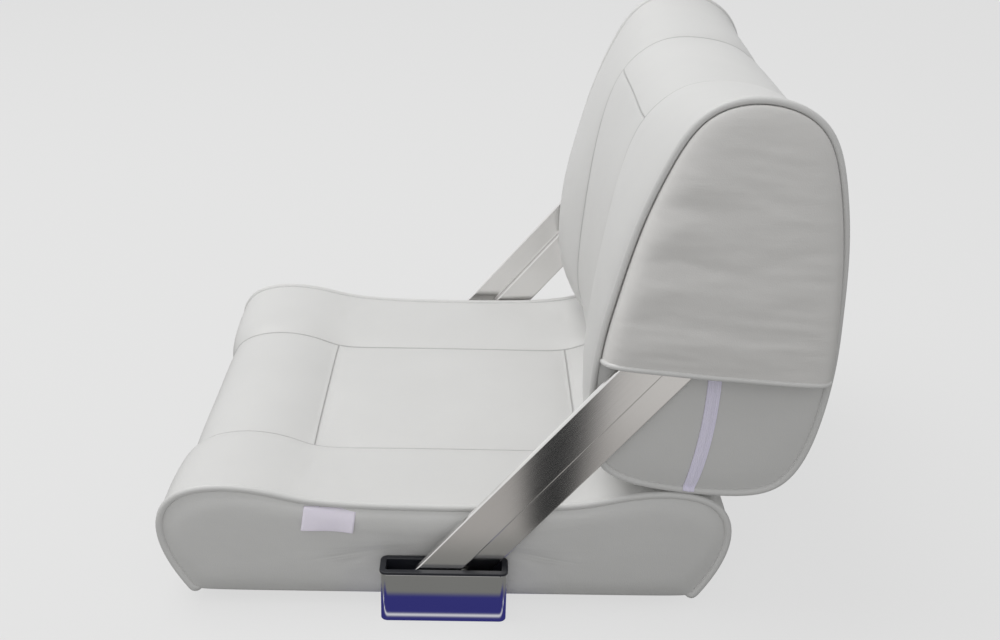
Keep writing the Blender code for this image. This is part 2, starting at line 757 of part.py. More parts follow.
def build_core():
    """Board through the backrest cushion, which ties the two brackets together."""
    low = (-HALF_WIDTH, HALF_SPACING - CORE_HALF_DEPTH, -CORE_HALF_HEIGHT)
    high = (HALF_WIDTH, HALF_SPACING + CORE_HALF_DEPTH, CORE_HALF_HEIGHT)
    return place("backrest_core", box_mesh("backrest_core", low, high), PLYWOOD, back_axis)


def back_side_outline():
    """Outline of the backrest cushion at its side, in the leaning frame."""
    return full_outline(BACK_SIDE_SHARES, BACK_HALF_DEPTH, BACK_HEIGHT_UP)


def build_back_cushion():
    """Backrest foam and cover: two wings, a hollow face and a tunnel for the core."""
    side = back_side_outline()
    wing = full_outline(BACK_WING_SHARES, BACK_HALF_DEPTH, BACK_HEIGHT_UP)
    seam = full_outline(BACK_SEAM_SHARES, BACK_HALF_DEPTH, BACK_HEIGHT_UP)
    middle = full_outline(BACK_MIDDLE_SHARES, BACK_HALF_DEPTH, BACK_HEIGHT_UP)
    seam_x = HALF_WIDTH - BACK_WING_WIDTH
    rings = (
        (0, middle),
        (seam_x - SEAM_REACH, between(middle, seam, BACK_INSERT_SHARE)),
        (seam_x, inset(seam, SEAM_DEPTH)),
        (seam_x + SEAM_REACH, between(seam, wing, BACK_RISE_SHARE)),
        (HALF_WIDTH - BACK_CROWN_REACH, wing),
        (HALF_WIDTH - SHOULDER_REACH, between(wing, side, BACK_SHOULDER_SHARE)),
        (HALF_WIDTH - TURN_REACH, inset(side, TURN_INSET)),
        (HALF_WIDTH, inset(side, SIDE_INSET)),
    )
    mesh = half_loft("backrest_cushion", rings)
    cushion = place("backrest_cushion", mesh, VINYL, back_axis, BACK_ORIGIN, LEANING)
    cushioned(cushion)
    reach = HALF_WIDTH + OVERRUN
    low = (
        -reach,
        HALF_SPACING - CORE_HALF_DEPTH - CLEARANCE,
        -CORE_HALF_HEIGHT - CLEARANCE,
    )
    high = (
        reach,
        HALF_SPACING + CORE_HALF_DEPTH + CLEARANCE,
        CORE_HALF_HEIGHT + CLEARANCE,
    )
    cut(cushion, as_cutter("core_tunnel", box_mesh("core_tunnel", low, high), back_axis))


def build_welts(side, side_name):
    """Piping round the side seams: an open run on the seat, a ring on the backrest."""
    seat_line = rounded(inset(seat_side_outline(), SEAT_WELT_INSET), 1)
    lowest = SEAT_UNDERSIDE + WELT_END_RISE
    rear_start = next(i for i, point in enumerate(seat_line) if point[1] > lowest and point[0] > 0)
    front_end = max(i for i, point in enumerate(seat_line) if point[1] > lowest and point[0] < 0)
    x = side * (HALF_WIDTH - WELT_BURY)
    run = [(x, y, z) for y, z in seat_line[rear_start:front_end + 1]]
    name = "seat_welt_" + side_name
    place(name, cord_curve(name, run, WELT_RADIUS, False), WELT_VINYL)
    back_line = rounded(inset(back_side_outline(), BACK_WELT_INSET), 1)
    x = side * (HALF_WIDTH - WELT_BURY)
    ring = [(x, y, z) for y, z in back_line]
    name = "backrest_welt_" + side_name
    curve = cord_curve(name, ring, WELT_RADIUS, True)
    place(name, curve, WELT_VINYL, back_axis, BACK_ORIGIN, LEANING)


def build_flap(side, side_name):
    """Side flap: sewn in at the welt, standing out over the bars, open at its hem."""
    hem = -FLAP_HEM_DROP
    line = rounded(inset(back_side_outline(), FLAP_EDGE_INSET), 1)
    edge = [point for point in line if point[1] > hem]
    top = max(point[1] for point in edge)
    edge[0] = (edge[0][0], hem)
    edge[-1] = (edge[-1][0], hem)
    middle = ((edge[0][0] + edge[-1][0]) / 2, hem)
    start = HALF_WIDTH - WELT_BURY + WELT_RADIUS + CLEARANCE + FLAP_THICKNESS / 2
    bm = bmesh.new()
    rings = []
    for share, wall_share in zip(FLAP_RING_SHARES, FLAP_WALL_SHARES):
        ring = []
        for along, up in edge:
            y = middle[0] + (along - middle[0]) * share
            z = middle[1] + (up - middle[1]) * share
            height = (z - hem) / (top - hem)
            fall = (1 + math.cos(math.pi * height)) / 2
            wall = FLAP_WALL_TOP + (FLAP_WALL_HEM - FLAP_WALL_TOP) * fall
            fold = FLAP_FOLD * math.sin(math.tau * FLAP_FOLDS * height) * (1 - share ** 4)
            x = start + wall * wall_share + FLAP_CROWN * (1 - share ** 2) + fold
            ring.append(bm.verts.new((side * x, y, z)))
        rings.append(ring)
    for outer, inner in zip(rings, rings[1:]):
        for index in range(len(outer) - 1):
            bm.faces.new((outer[index], outer[index + 1], inner[index + 1], inner[index]))
    centre = bm.verts.new((side * (start + FLAP_WALL_HEM + FLAP_CROWN), *middle))
    for first, second in zip(rings[-1], rings[-1][1:]):
        bm.faces.new((first, second, centre))
    name = "side_flap_" + side_name
    mesh = written(name, bm)
    mesh.shade_smooth()
    flap = place(name, mesh, VINYL, back_axis, BACK_ORIGIN, LEANING)
    wall = flap.modifiers.new("cloth", "SOLIDIFY")
    wall.thickness = FLAP_THICKNESS
    wall.offset = 0


def build_zip():
    """Zip down the left side panel under the flap, with its slider parked at the top."""
    face = HALF_WIDTH + CLEARANCE
    tape = box_mesh(
        "zip_tape",
        (face, ZIP_OFFSET - ZIP_WIDTH / 2, -ZIP_BOTTOM_DROP),
        (face + ZIP_THICKNESS, ZIP_OFFSET + ZIP_WIDTH / 2, -ZIP_TOP_DROP),
    )
    place("zip_tape", tape, ZIP_TAPE, back_axis, BACK_ORIGIN, LEANING)
    slider_face = face + ZIP_THICKNESS + CLEARANCE
    slider = box_mesh(
        "zip_slider",
        (slider_face, ZIP_OFFSET - SLIDER_WIDTH / 2, -ZIP_TOP_DROP - SLIDER_LENGTH),
        (slider_face + SLIDER_THICKNESS, ZIP_OFFSET + SLIDER_WIDTH / 2, -ZIP_TOP_DROP),
    )
    made = place("zip_slider", slider, ZINC, back_axis, BACK_ORIGIN, LEANING)
    bevelled(made, SLIDER_EDGE, 2)


def build_tag():
    """Blank cloth tag that hangs from the left seat seam."""
    face = HALF_WIDTH + CLEARANCE
    tag = box_mesh(
        "seam_tag",
        (face, TAG_FRONT_Y, TAG_TOP_Z - TAG_DROP),
        (face + TAG_THICKNESS, TAG_REAR_Y, TAG_TOP_Z),
    )
    place("seam_tag", tag, TAG_CLOTH)


def build_side(side, side_name, core):
    """Everything that repeats on the left and the right of the seat."""
    socket = build_socket(side, side_name)
    liner = build_liner(side, side_name)
    carriers = (socket, liner)
    build_pin(side, side_name, "front", -HALF_SPACING, OUTER_BAR_IN - CLEARANCE, carriers)
    build_pin(side, side_name, "rear", HALF_SPACING, None, carriers)
    build_bar(side, side_name, "front", front_axis, OUTER_BAR_IN)
    build_bar(side, side_name, "rear", rear_axis, INNER_BAR_IN)
    bracket = build_bracket(side, side_name, core)
    build_stud(side, side_name, "front", 0, OUTER_BAR_IN, bracket, core)
    build_stud(side, side_name, "rear", PIVOT_SPACING, INNER_BAR_IN, bracket, core)
    build_welts(side, side_name)
    build_flap(side, side_name)


build_seat_cushion()
build_seat_base()
backrest_core = build_core()
build_back_cushion()
for side_sign, side_label in SIDES:
    build_side(side_sign, side_label, backrest_core)
build_zip()
build_tag()
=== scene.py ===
import json
import logging
import math
from dataclasses import dataclass, field
from enum import Enum
from functools import cached_property
from typing import Callable, Sequence

import bmesh
import bpy
from mathutils import Matrix, Vector, noise
from mathutils.bvhtree import BVHTree


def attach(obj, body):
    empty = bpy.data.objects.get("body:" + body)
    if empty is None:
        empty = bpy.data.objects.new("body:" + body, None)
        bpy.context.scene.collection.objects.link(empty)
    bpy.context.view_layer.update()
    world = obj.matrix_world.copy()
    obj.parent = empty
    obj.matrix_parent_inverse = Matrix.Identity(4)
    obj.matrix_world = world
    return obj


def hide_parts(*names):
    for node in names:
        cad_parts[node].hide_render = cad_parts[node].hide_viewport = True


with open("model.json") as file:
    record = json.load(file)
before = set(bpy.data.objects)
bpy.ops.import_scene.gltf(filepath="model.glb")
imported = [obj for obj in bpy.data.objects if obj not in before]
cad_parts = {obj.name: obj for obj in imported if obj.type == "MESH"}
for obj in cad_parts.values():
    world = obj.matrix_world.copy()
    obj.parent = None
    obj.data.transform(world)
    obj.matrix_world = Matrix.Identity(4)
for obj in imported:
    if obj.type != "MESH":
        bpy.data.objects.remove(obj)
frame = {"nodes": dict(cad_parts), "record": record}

LOG = logging.getLogger("helm_seat")

Pair = tuple[float, float]
Outline = list[Pair]
Ring = tuple[float, Outline]
Triple = tuple[float, float, float]
Colour = Triple
Feel = Callable[[float, float], float]

SIDES: tuple[tuple[int, str], ...] = ((1, "left"), (-1, "right"))

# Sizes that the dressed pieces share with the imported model, in metres
HALF_WIDTH = 0.2222
SHOULDER_REACH = 0.0107
LIP_REACH = 0.0045
LIP_INSET = 0.0008
TURN_REACH = 0.0015
TURN_INSET = 0.0032
SIDE_INSET = 0.008
SEAM_REACH = 0.010
SEAM_DEPTH = 0.003
CLEARANCE = 0.0003
WELT_RADIUS = 0.0032
WELT_BURY = 0.0015
BAR_LEAN = math.radians(50.0)
BACK_LEAN = math.radians(6.0)
BACK_CENTRE = Vector((0.0, 0.22342, 0.298695))
SEAT_BOLSTER_WIDTH = 0.1132
SEAT_CROSS_SEAMS = (-0.1235, 0.1210)
SEAT_TOP_FROM = 0.055
BACK_BOLSTER_WIDTH = 0.1322

# How fine the meshes are, and how their edges and seams are treated
OUTLINE_ROUNDS = 3
WELT_SIDES = 14
DRILL_SIDES = 32
MERGE_DISTANCE = 0.00001
NO_LENGTH = 1e-9
LEAST_REACH = 1e-6
EASED_FROM = math.radians(40)
SHARP_FROM = math.radians(35)
SEAM_GRIP = 0.005
WELT_GRIP = (HALF_WIDTH - 0.020, HALF_WIDTH - 0.006)


class Body(Enum):
    """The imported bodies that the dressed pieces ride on."""

    SEAT = "seat"
    FRONT_ARMS = "front_arms"
    REAR_ARMS = "rear_arms"
    BACKREST = "backrest"


class Slot(Enum):
    """The record's material slots."""

    VINYL = "vinyl"
    FLAP_VINYL = "flap_vinyl"
    WELT_VINYL = "welt_vinyl"
    STEEL = "polished_steel"
    ZINC = "zinc"
    BLACK_PLASTIC = "black_plastic"
    NYLON = "nylon"
    PLYWOOD = "plywood"
    ZIP_TAPE = "zip_tape"
    TAG_CLOTH = "tag_cloth"


def leaning() -> Matrix:
    """Return the matrix from the backrest's leaning frame to the seat's frame."""
    return Matrix.Translation(BACK_CENTRE) @ Matrix.Rotation(-BACK_LEAN, 4, "X")


def full_outline(half_shares: Sequence[Pair], half_depth: float, height: float,
                 base: float = 0.0) -> Outline:
    """Mirror a half outline into a loop that runs anticlockwise seen from the sitter's left.

    Args:
        half_shares: Shares of the half depth and of the height, from the top round the rear.
        half_depth: Half of the loop's depth.
        height: The height that the shares are of.
        base: The height at which the shares are zero.

    Returns:
        The whole loop as (y, z) points.
    """
    half = [(depth * half_depth, base + rise * height) for depth, rise in half_shares]
    return list(reversed(half)) + [(-depth, rise) for depth, rise in half]


def inset(outline: Outline, distance: float) -> Outline:
    """Draw a loop in, square to itself at each point.

    Args:
        outline: The closed loop.
        distance: How far in each point moves.

    Returns:
        The smaller loop.
    """
    moved = []
    for index, (y, z) in enumerate(outline):
        before = Vector(outline[index - 1])
        after = Vector(outline[(index + 1) % len(outline)])
        along = (after - before).normalized()
        moved.append((y - along.y * distance, z + along.x * distance))
    return moved


def drawn_in(outline: Outline, distance: float) -> Outline:
    """Shrink a loop about its middle, by a distance at its ends.

    Args:
        outline: The closed loop.
        distance: How far in its ends, its top and its foot move.

    Returns:
        The smaller loop, whose points keep their order.
    """
    low, high = min(z for _, z in outline), max(z for _, z in outline)
    deep = max(y for y, _ in outline)
    middle, half = (high + low) / 2, (high - low) / 2
    return [(y * (1 - distance / deep), middle + (z - middle) * (1 - distance / half))
            for y, z in outline]


def between(first: Outline, second: Outline, share: float) -> Outline:
    """Blend two loops.

    Args:
        first: The loop at a share of zero.
        second: The loop at a share of one.
        share: How far to go from the first to the second.

    Returns:
        The blended loop.
    """
    return [(a[0] + (b[0] - a[0]) * share, a[1] + (b[1] - a[1]) * share)
            for a, b in zip(first, second)]


def rounded(outline: Outline, rounds: int) -> Outline:
    """Smooth a loop as a subdivision surface smooths its cage.

    Args:
        outline: The closed loop.
        rounds: How many times to smooth and double its points.

    Returns:
        The finer loop.
    """
    for _ in range(rounds):
        finer = []
        for index, point in enumerate(outline):
            before = Vector(outline[index - 1])
            here = Vector(point)
            after = Vector(outline[(index + 1) % len(outline)])
            finer.append(tuple((before + here * 6 + after) / 8))
            finer.append(tuple((here + after) / 2))
        outline = finer
    return outline


def smooth_step(low: float, high: float, value: float) -> float:
    """Return 0 below low, 1 above high and a soft rise between."""
    share = min(max((value - low) / (high - low), 0.0), 1.0)
    return share * share * (3 - 2 * share)


def soft_least(first: float, second: float, blend: float) -> float:
    """Return the lesser of two lengths, rounded off where they are nearly the same."""
    near = max(blend - abs(first - second), 0.0) / blend
    return min(first, second) - near * near * blend / 4


def sewn(distance: float) -> float:
    """Return how firmly a sewn line holds the cover, from 1 on the line to 0 away from it."""
    return math.exp(-(distance / SEAM_GRIP) ** 2)


def tinted(colour: Colour, share: float, lift: float = 0.0) -> Colour:
    """Return a colour at a share of its brightness, lifted a little if given."""
    return tuple(channel * share + lift for channel in colour)


def sweep(bm: bmesh.types.BMesh, path: Sequence[Vector], radius: float, segments: int,
          closed: bool) -> None:
    """Run a round cord along a path by bridging circles.

    Args:
        bm: The mesh to add to.
        path: The points that the cord's middle follows.
        radius: The cord's radius.
        segments: How many sides the cord has.
        closed: Whether the cord is a ring.
    """
    count = len(path)
    loops = []
    side = Vector((1, 0, 0))
    for index, point in enumerate(path):
        before = path[index - 1] if closed or index else point
        after = path[(index + 1) % count] if closed or index < count - 1 else point
        along = (after - before).normalized()
        side = (side - along * side.dot(along)).normalized()
        turn = Matrix((side, along.cross(side), along)).transposed().to_4x4()
        ring = bmesh.ops.create_circle(bm, cap_ends=False, segments=segments, radius=radius,
                                       matrix=Matrix.Translation(point) @ turn)
        loops.append(list({edge for vert in ring["verts"] for edge in vert.link_edges}))
    pairs = list(zip(loops, loops[1:]))
    if closed:
        pairs.append((loops[-1], loops[0]))
    for first, second in pairs:
        bmesh.ops.bridge_loops(bm, edges=first + second)
    if not closed:
        for loop in (loops[0], loops[-1]):
            bmesh.ops.contextual_create(bm, geom=loop)
    bmesh.ops.recalc_face_normals(bm, faces=bm.faces)


def block(size: Sequence[float], middle: Sequence[float] = (0, 0, 0)) -> bmesh.types.BMesh:
    """Start a working mesh that holds one box.

    Args:
        size: The box's three lengths.
        middle: Where its middle lies.

    Returns:
        The working mesh.
    """
    bm = bmesh.new()
    place = Matrix.Translation(middle) @ Matrix.Diagonal((*size, 1))
    bmesh.ops.create_cube(bm, size=1.0, matrix=place)
    return bm


def bevelled(bm: bmesh.types.BMesh, edges: list[bmesh.types.BMEdge], width: float,
             segments: int) -> None:
    """Round some edges of a working mesh.

    Args:
        bm: The working mesh.
        edges: The edges to round.
        width: How far in from each edge its round starts.
        segments: How many faces each round has.
    """
    bmesh.ops.bevel(bm, geom=edges, offset=width, offset_type="OFFSET", segments=segments,
                    profile=0.5, affect="EDGES", clamp_overlap=True, material=-1)


def made(name: str, bm: bmesh.types.BMesh, smooth: bool = True) -> bpy.types.Object:
    """Turn a working mesh into an object at the origin.

    Args:
        name: The piece's name.
        bm: The working mesh, which is freed.
        smooth: Whether its faces are smooth shaded.

    Returns:
        The new object, linked to the scene.
    """
    mesh = bpy.data.meshes.new(name)
    bm.to_mesh(mesh)
    bm.free()
    if smooth:
        mesh.shade_smooth()
    piece = bpy.data.objects.new(name, mesh)
    bpy.context.scene.collection.objects.link(piece)
    return piece


def drilled(piece: bpy.types.Object, centre: Vector, radius: float, depth: float) -> None:
    """Bore a sideways hole through a piece.

    Args:
        piece: The piece to bore.
        centre: The middle of the hole.
        radius: The hole's radius.
        depth: The hole's length.
    """
    bm = bmesh.new()
    place = Matrix.Translation(centre) @ Matrix.Rotation(math.pi / 2, 4, "Y")
    bmesh.ops.create_cone(bm, cap_ends=True, segments=DRILL_SIDES, radius1=radius,
                          radius2=radius, depth=depth, matrix=place)
    without(piece, made("drill", bm, smooth=False))


def without(piece: bpy.types.Object, cutter: bpy.types.Object) -> None:
    """Take a cutter out of a piece, and delete the cutter.

    Args:
        piece: The piece to cut.
        cutter: The body whose room is taken out.
    """
    cut = piece.modifiers.new("cut", "BOOLEAN")
    cut.operation = "DIFFERENCE"
    cut.solver = "EXACT"
    cut.object = cutter
    settled(piece)
    bpy.data.objects.remove(cutter, do_unlink=True)


def eased(piece: bpy.types.Object, width: float, segments: int) -> None:
    """Round a hard piece's sharp edges a little and keep its faces flat.

    Args:
        piece: The piece to ease.
        width: How far in from each edge its round starts.
        segments: How many faces each round has.
    """
    ease = piece.modifiers.new("eased", "BEVEL")
    ease.width = width
    ease.segments = segments
    ease.limit_method = "ANGLE"
    ease.angle_limit = EASED_FROM
    settled(piece)
    piece.data.shade_flat()


def settled(piece: bpy.types.Object) -> None:
    """Apply all the modifiers of a piece to its mesh.

    Args:
        piece: The piece whose mesh takes its finished shape.
    """
    depsgraph = bpy.context.evaluated_depsgraph_get()
    mesh = bpy.data.meshes.new_from_object(piece.evaluated_get(depsgraph))
    old = piece.data
    piece.modifiers.clear()
    piece.data = mesh
    mesh.name = piece.name
    bpy.data.meshes.remove(old)


def subdivided(piece: bpy.types.Object, levels: int) -> None:
    """Smooth a piece's cage and keep the result.

    Args:
        piece: The piece, whose mesh is a coarse cage.
        levels: How many times the cage is smoothed.
    """
    soft = piece.modifiers.new("soft", "SUBSURF")
    soft.levels = levels
    soft.render_levels = levels
    settled(piece)
    piece.data.shade_smooth()


def thickened(piece: bpy.types.Object, thickness: float) -> None:
    """Give a piece of cloth its thickness, half to each side.

    Args:
        piece: The piece, whose mesh is one open sheet.
        thickness: The cloth's thickness.
    """
    cloth = piece.modifiers.new("cloth", "SOLIDIFY")
    cloth.thickness = thickness
    cloth.offset = 0
    settled(piece)
    piece.data.shade_smooth()


def hollowed(piece: bpy.types.Object, low: Sequence[float], high: Sequence[float]) -> None:
    """Cut a box out of a piece.

    Args:
        piece: The piece to cut.
        low: The box's lowest corner.
        high: The box's highest corner.
    """
    room = block(Vector(high) - Vector(low), (Vector(high) + Vector(low)) / 2)
    without(piece, made("room", room, smooth=False))
    piece.data.set_sharp_from_angle(angle=SHARP_FROM)


def side_face(place: Matrix, *pieces: bpy.types.Object) -> Feel:
    """Feel for a cushion's left side panel.

    Args:
        place: The matrix from the frame that places are given in.
        pieces: The finished cushion, and the piping that counts with it.

    Returns:
        A function that gives how far out the panel stands at a depth and a height.
    """
    bm = bmesh.new()
    for piece in pieces:
        bm.from_mesh(piece.data)
    bmesh.ops.transform(bm, matrix=place.inverted(), verts=bm.verts)
    tree = BVHTree.FromBMesh(bm)
    bm.free()

    def face(y: float, z: float) -> float:
        """Return how far out the panel stands."""
        spot = tree.ray_cast(Vector((1.0, y, z)), Vector((-1, 0, 0)))[0]
        return spot.x if spot else HALF_WIDTH

    return face


def dress(piece: bpy.types.Object, body: Body, slot: Slot, *nodes: str) -> None:
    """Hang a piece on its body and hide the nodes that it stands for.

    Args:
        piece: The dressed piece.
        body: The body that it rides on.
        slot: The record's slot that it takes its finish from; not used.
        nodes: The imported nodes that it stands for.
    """
    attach(piece, body.value)
    if nodes:
        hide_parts(*nodes)
    LOG.info("%s on %s: %d faces", piece.name, body.value, len(piece.data.polygons))


class Value:
    """A shader socket whose arithmetic adds Math nodes."""

    def __init__(self, graph: "Graph", socket: bpy.types.NodeSocket) -> None:
        """Wrap a socket of a graph."""
        self.graph = graph
        self.socket = socket

    def __add__(self, other: "Value | float") -> "Value":
        """Add."""
        return self.graph.maths("ADD", self, other)

    def __radd__(self, other: float) -> "Value":
        """Add to a number."""
        return self.graph.maths("ADD", other, self)

    def __sub__(self, other: "Value | float") -> "Value":
        """Subtract."""
        return self.graph.maths("SUBTRACT", self, other)

    def __rsub__(self, other: float) -> "Value":
        """Subtract from a number."""
        return self.graph.maths("SUBTRACT", other, self)

    def __mul__(self, other: "Value | float") -> "Value":
        """Multiply."""
        return self.graph.maths("MULTIPLY", self, other)

    def __rmul__(self, other: float) -> "Value":
        """Multiply a number."""
        return self.graph.maths("MULTIPLY", other, self)

    def __truediv__(self, other: "Value | float") -> "Value":
        """Divide."""
        return self.graph.maths("DIVIDE", self, other)

    def __abs__(self) -> "Value":
        """Drop the sign."""
        return self.graph.maths("ABSOLUTE", self)

    def bell(self, width: float) -> "Value":
        """Return 1 where this is zero, falling off softly over a width."""
        scaled = self / width
        return self.graph.maths("EXPONENT", scaled * scaled * -1.0)

    def wave(self, length: float) -> "Value":
        """Return a sine of this value with a wavelength."""
        return self.graph.maths("SINE", self * (math.tau / length))

    def above(self, low: float, high: float) -> "Value":
        """Cut a mask out of this value, with a soft rise between two limits.

        Args:
            low: Where the mask is still 0.
            high: Where it is 1.

        Returns:
            The mask.
        """
        settings = {"interpolation_type": "SMOOTHSTEP", "clamp": True}
        return self.graph.node("ShaderNodeMapRange", settings,
                               {"Value": self, "From Min": low, "From Max": high})


Link = Value | float | Sequence[float]


@dataclass(frozen=True)
class Clouds:
    """One kind of smooth noise.

    Args:
        scale: How many clouds a metre has.
        detail: How many finer layers it has.
        roughness: How strong the finer layers are.
    """

    scale: float
    detail: float = 3.0
    roughness: float = 0.5


class Graph:
    """One procedural material and the nodes that feed its shader."""

    def __init__(self, name: str) -> None:
        """Start a material that holds one principled shader.

        Args:
            name: The material's name.
        """
        self.material = bpy.data.materials.new(name)
        self.material.use_nodes = True
        self.tree = self.material.node_tree
        self.shader = self.tree.nodes["Principled BSDF"]

    def node(self, kind: str, settings: dict[str, object] | None = None,
             inputs: dict[str | int, Link] | None = None, output: str | int = 0) -> Value:
        """Add a node.

        Args:
            kind: The node's type.
            settings: Its options, or a ramp's stops, set before its sockets.
            inputs: A value or a link for each socket.
            output: The socket that is returned.

        Returns:
            The chosen output.
        """
        node = self.tree.nodes.new(kind)
        for key, value in (settings or {}).items():
            if key == "stops":
                ramp = node.color_ramp
                while len(ramp.elements) < len(value):
                    ramp.elements.new(0.5)
                for element, (place, colour) in zip(ramp.elements, value):
                    element.position = place
                    element.color = (*colour, 1.0)
            else:
                setattr(node, key, value)
        for key, value in (inputs or {}).items():
            self.feed(node.inputs[key], value)
        return Value(self, node.outputs[output])

    def feed(self, socket: bpy.types.NodeSocket, value: Link) -> None:
        """Link a value to a socket, or set a constant on it.

        Args:
            socket: The socket to feed.
            value: A link, a number, a colour or a vector.
        """
        if isinstance(value, Value):
            self.tree.links.new(value.socket, socket)
        elif isinstance(value, (int, float)):
            socket.default_value = value
        elif len(socket.default_value) == 4:
            socket.default_value = (*value[:3], 1.0)
        else:
            socket.default_value = value

    def maths(self, operation: str, *values: Value | float) -> Value:
        """Add a Math node."""
        return self.node("ShaderNodeMath", {"operation": operation}, dict(enumerate(values)))

    def place(self) -> Value:
        """Return the place on the piece."""
        return self.node("ShaderNodeTexCoord", output="Object")

    def stretched(self, scale: Sequence[float], turn: Sequence[float] = (0, 0, 0)) -> Value:
        """Return the place on the piece, turned and then stretched.

        Args:
            scale: How many times each distance is stretched.
            turn: The angles that it is turned by first.

        Returns:
            The stretched place.
        """
        turned = self.node("ShaderNodeMapping", {"vector_type": "TEXTURE"},
                           {"Vector": self.place(), "Rotation": turn})
        return self.node("ShaderNodeMapping", {"vector_type": "POINT"},
                         {"Vector": turned, "Scale": scale})

    def axes(self) -> tuple[Value, Value, Value]:
        """Return the place's three distances.

        Returns:
            How far out, how far back and how high it is.
        """
        x = self.node("ShaderNodeSeparateXYZ", inputs={0: self.place()}, output="X")
        outputs = x.socket.node.outputs
        return x, Value(self, outputs["Y"]), Value(self, outputs["Z"])

    def clouds(self, place: Value, kind: Clouds) -> Value:
        """Add smooth noise between 0 and 1.

        Args:
            place: The place that it is read at.
            kind: How coarse it is, and how rough.

        Returns:
            The noise.
        """
        return self.node("ShaderNodeTexNoise", None, {
            "Vector": place, "Scale": kind.scale, "Detail": kind.detail,
            "Roughness": kind.roughness})

    def cells(self, place: Value, scale: float, feature: str = "F1") -> Value:
        """Return the distance field of a cell pattern.

        Args:
            place: The place that it is read at.
            scale: How many cells a metre has.
            feature: Which distance of the cells is read.

        Returns:
            The distance.
        """
        return self.node("ShaderNodeTexVoronoi", {"feature": feature},
                         {"Vector": place, "Scale": scale}, "Distance")

    def blend(self, factor: Value | float, first: Link, second: Link) -> Value:
        """Mix two colours."""
        return self.node("ShaderNodeMix", {"data_type": "RGBA"},
                         {0: factor, 6: first, 7: second}, 2)

    def relief(self, height: Value, distance: float, below: Value | None = None) -> Value:
        """Raise a bump, over an earlier one if given.

        Args:
            height: How high the surface stands, from 0 to 1.
            distance: What a height of 1 is in metres.
            below: The bump that this one lies on.

        Returns:
            The bumped normal.
        """
        inputs: dict[str | int, Link] = {"Height": height, "Distance": distance, "Strength": 1.0}
        if below is not None:
            inputs["Normal"] = below
        return self.node("ShaderNodeBump", None, inputs)

    def surface(self, **sockets: Link) -> bpy.types.Material:
        """Feed the shader's sockets.

        Args:
            sockets: A value or a link for each, named with underscores for spaces.

        Returns:
            The material.
        """
        for name, value in sockets.items():
            self.feed(self.shader.inputs[name.replace("_", " ")], value)
        return self.material


class Seams(Enum):
    """Which sewn lines a vinyl's piece carries."""

    NONE = "none"
    SEAT = "seat"
    BACKREST = "backrest"


# Where the sewn lines run and end on the covers, in the seat's frame
LINE_FADE = 0.0005
LINE_WIDTH = 0.0008
LINE_DEPTH = 0.0009
SEAT_SEAM_RISE = (0.030, 0.045)
SEAT_CROSS_RISE = (SEAT_TOP_FROM, 0.065)
BACK_SEAM_RISE = (0.0, 0.01)
BACK_FRONT_FADE = (0.175, 0.185)
BACK_CROSS_SEAM_TOP = 0.404


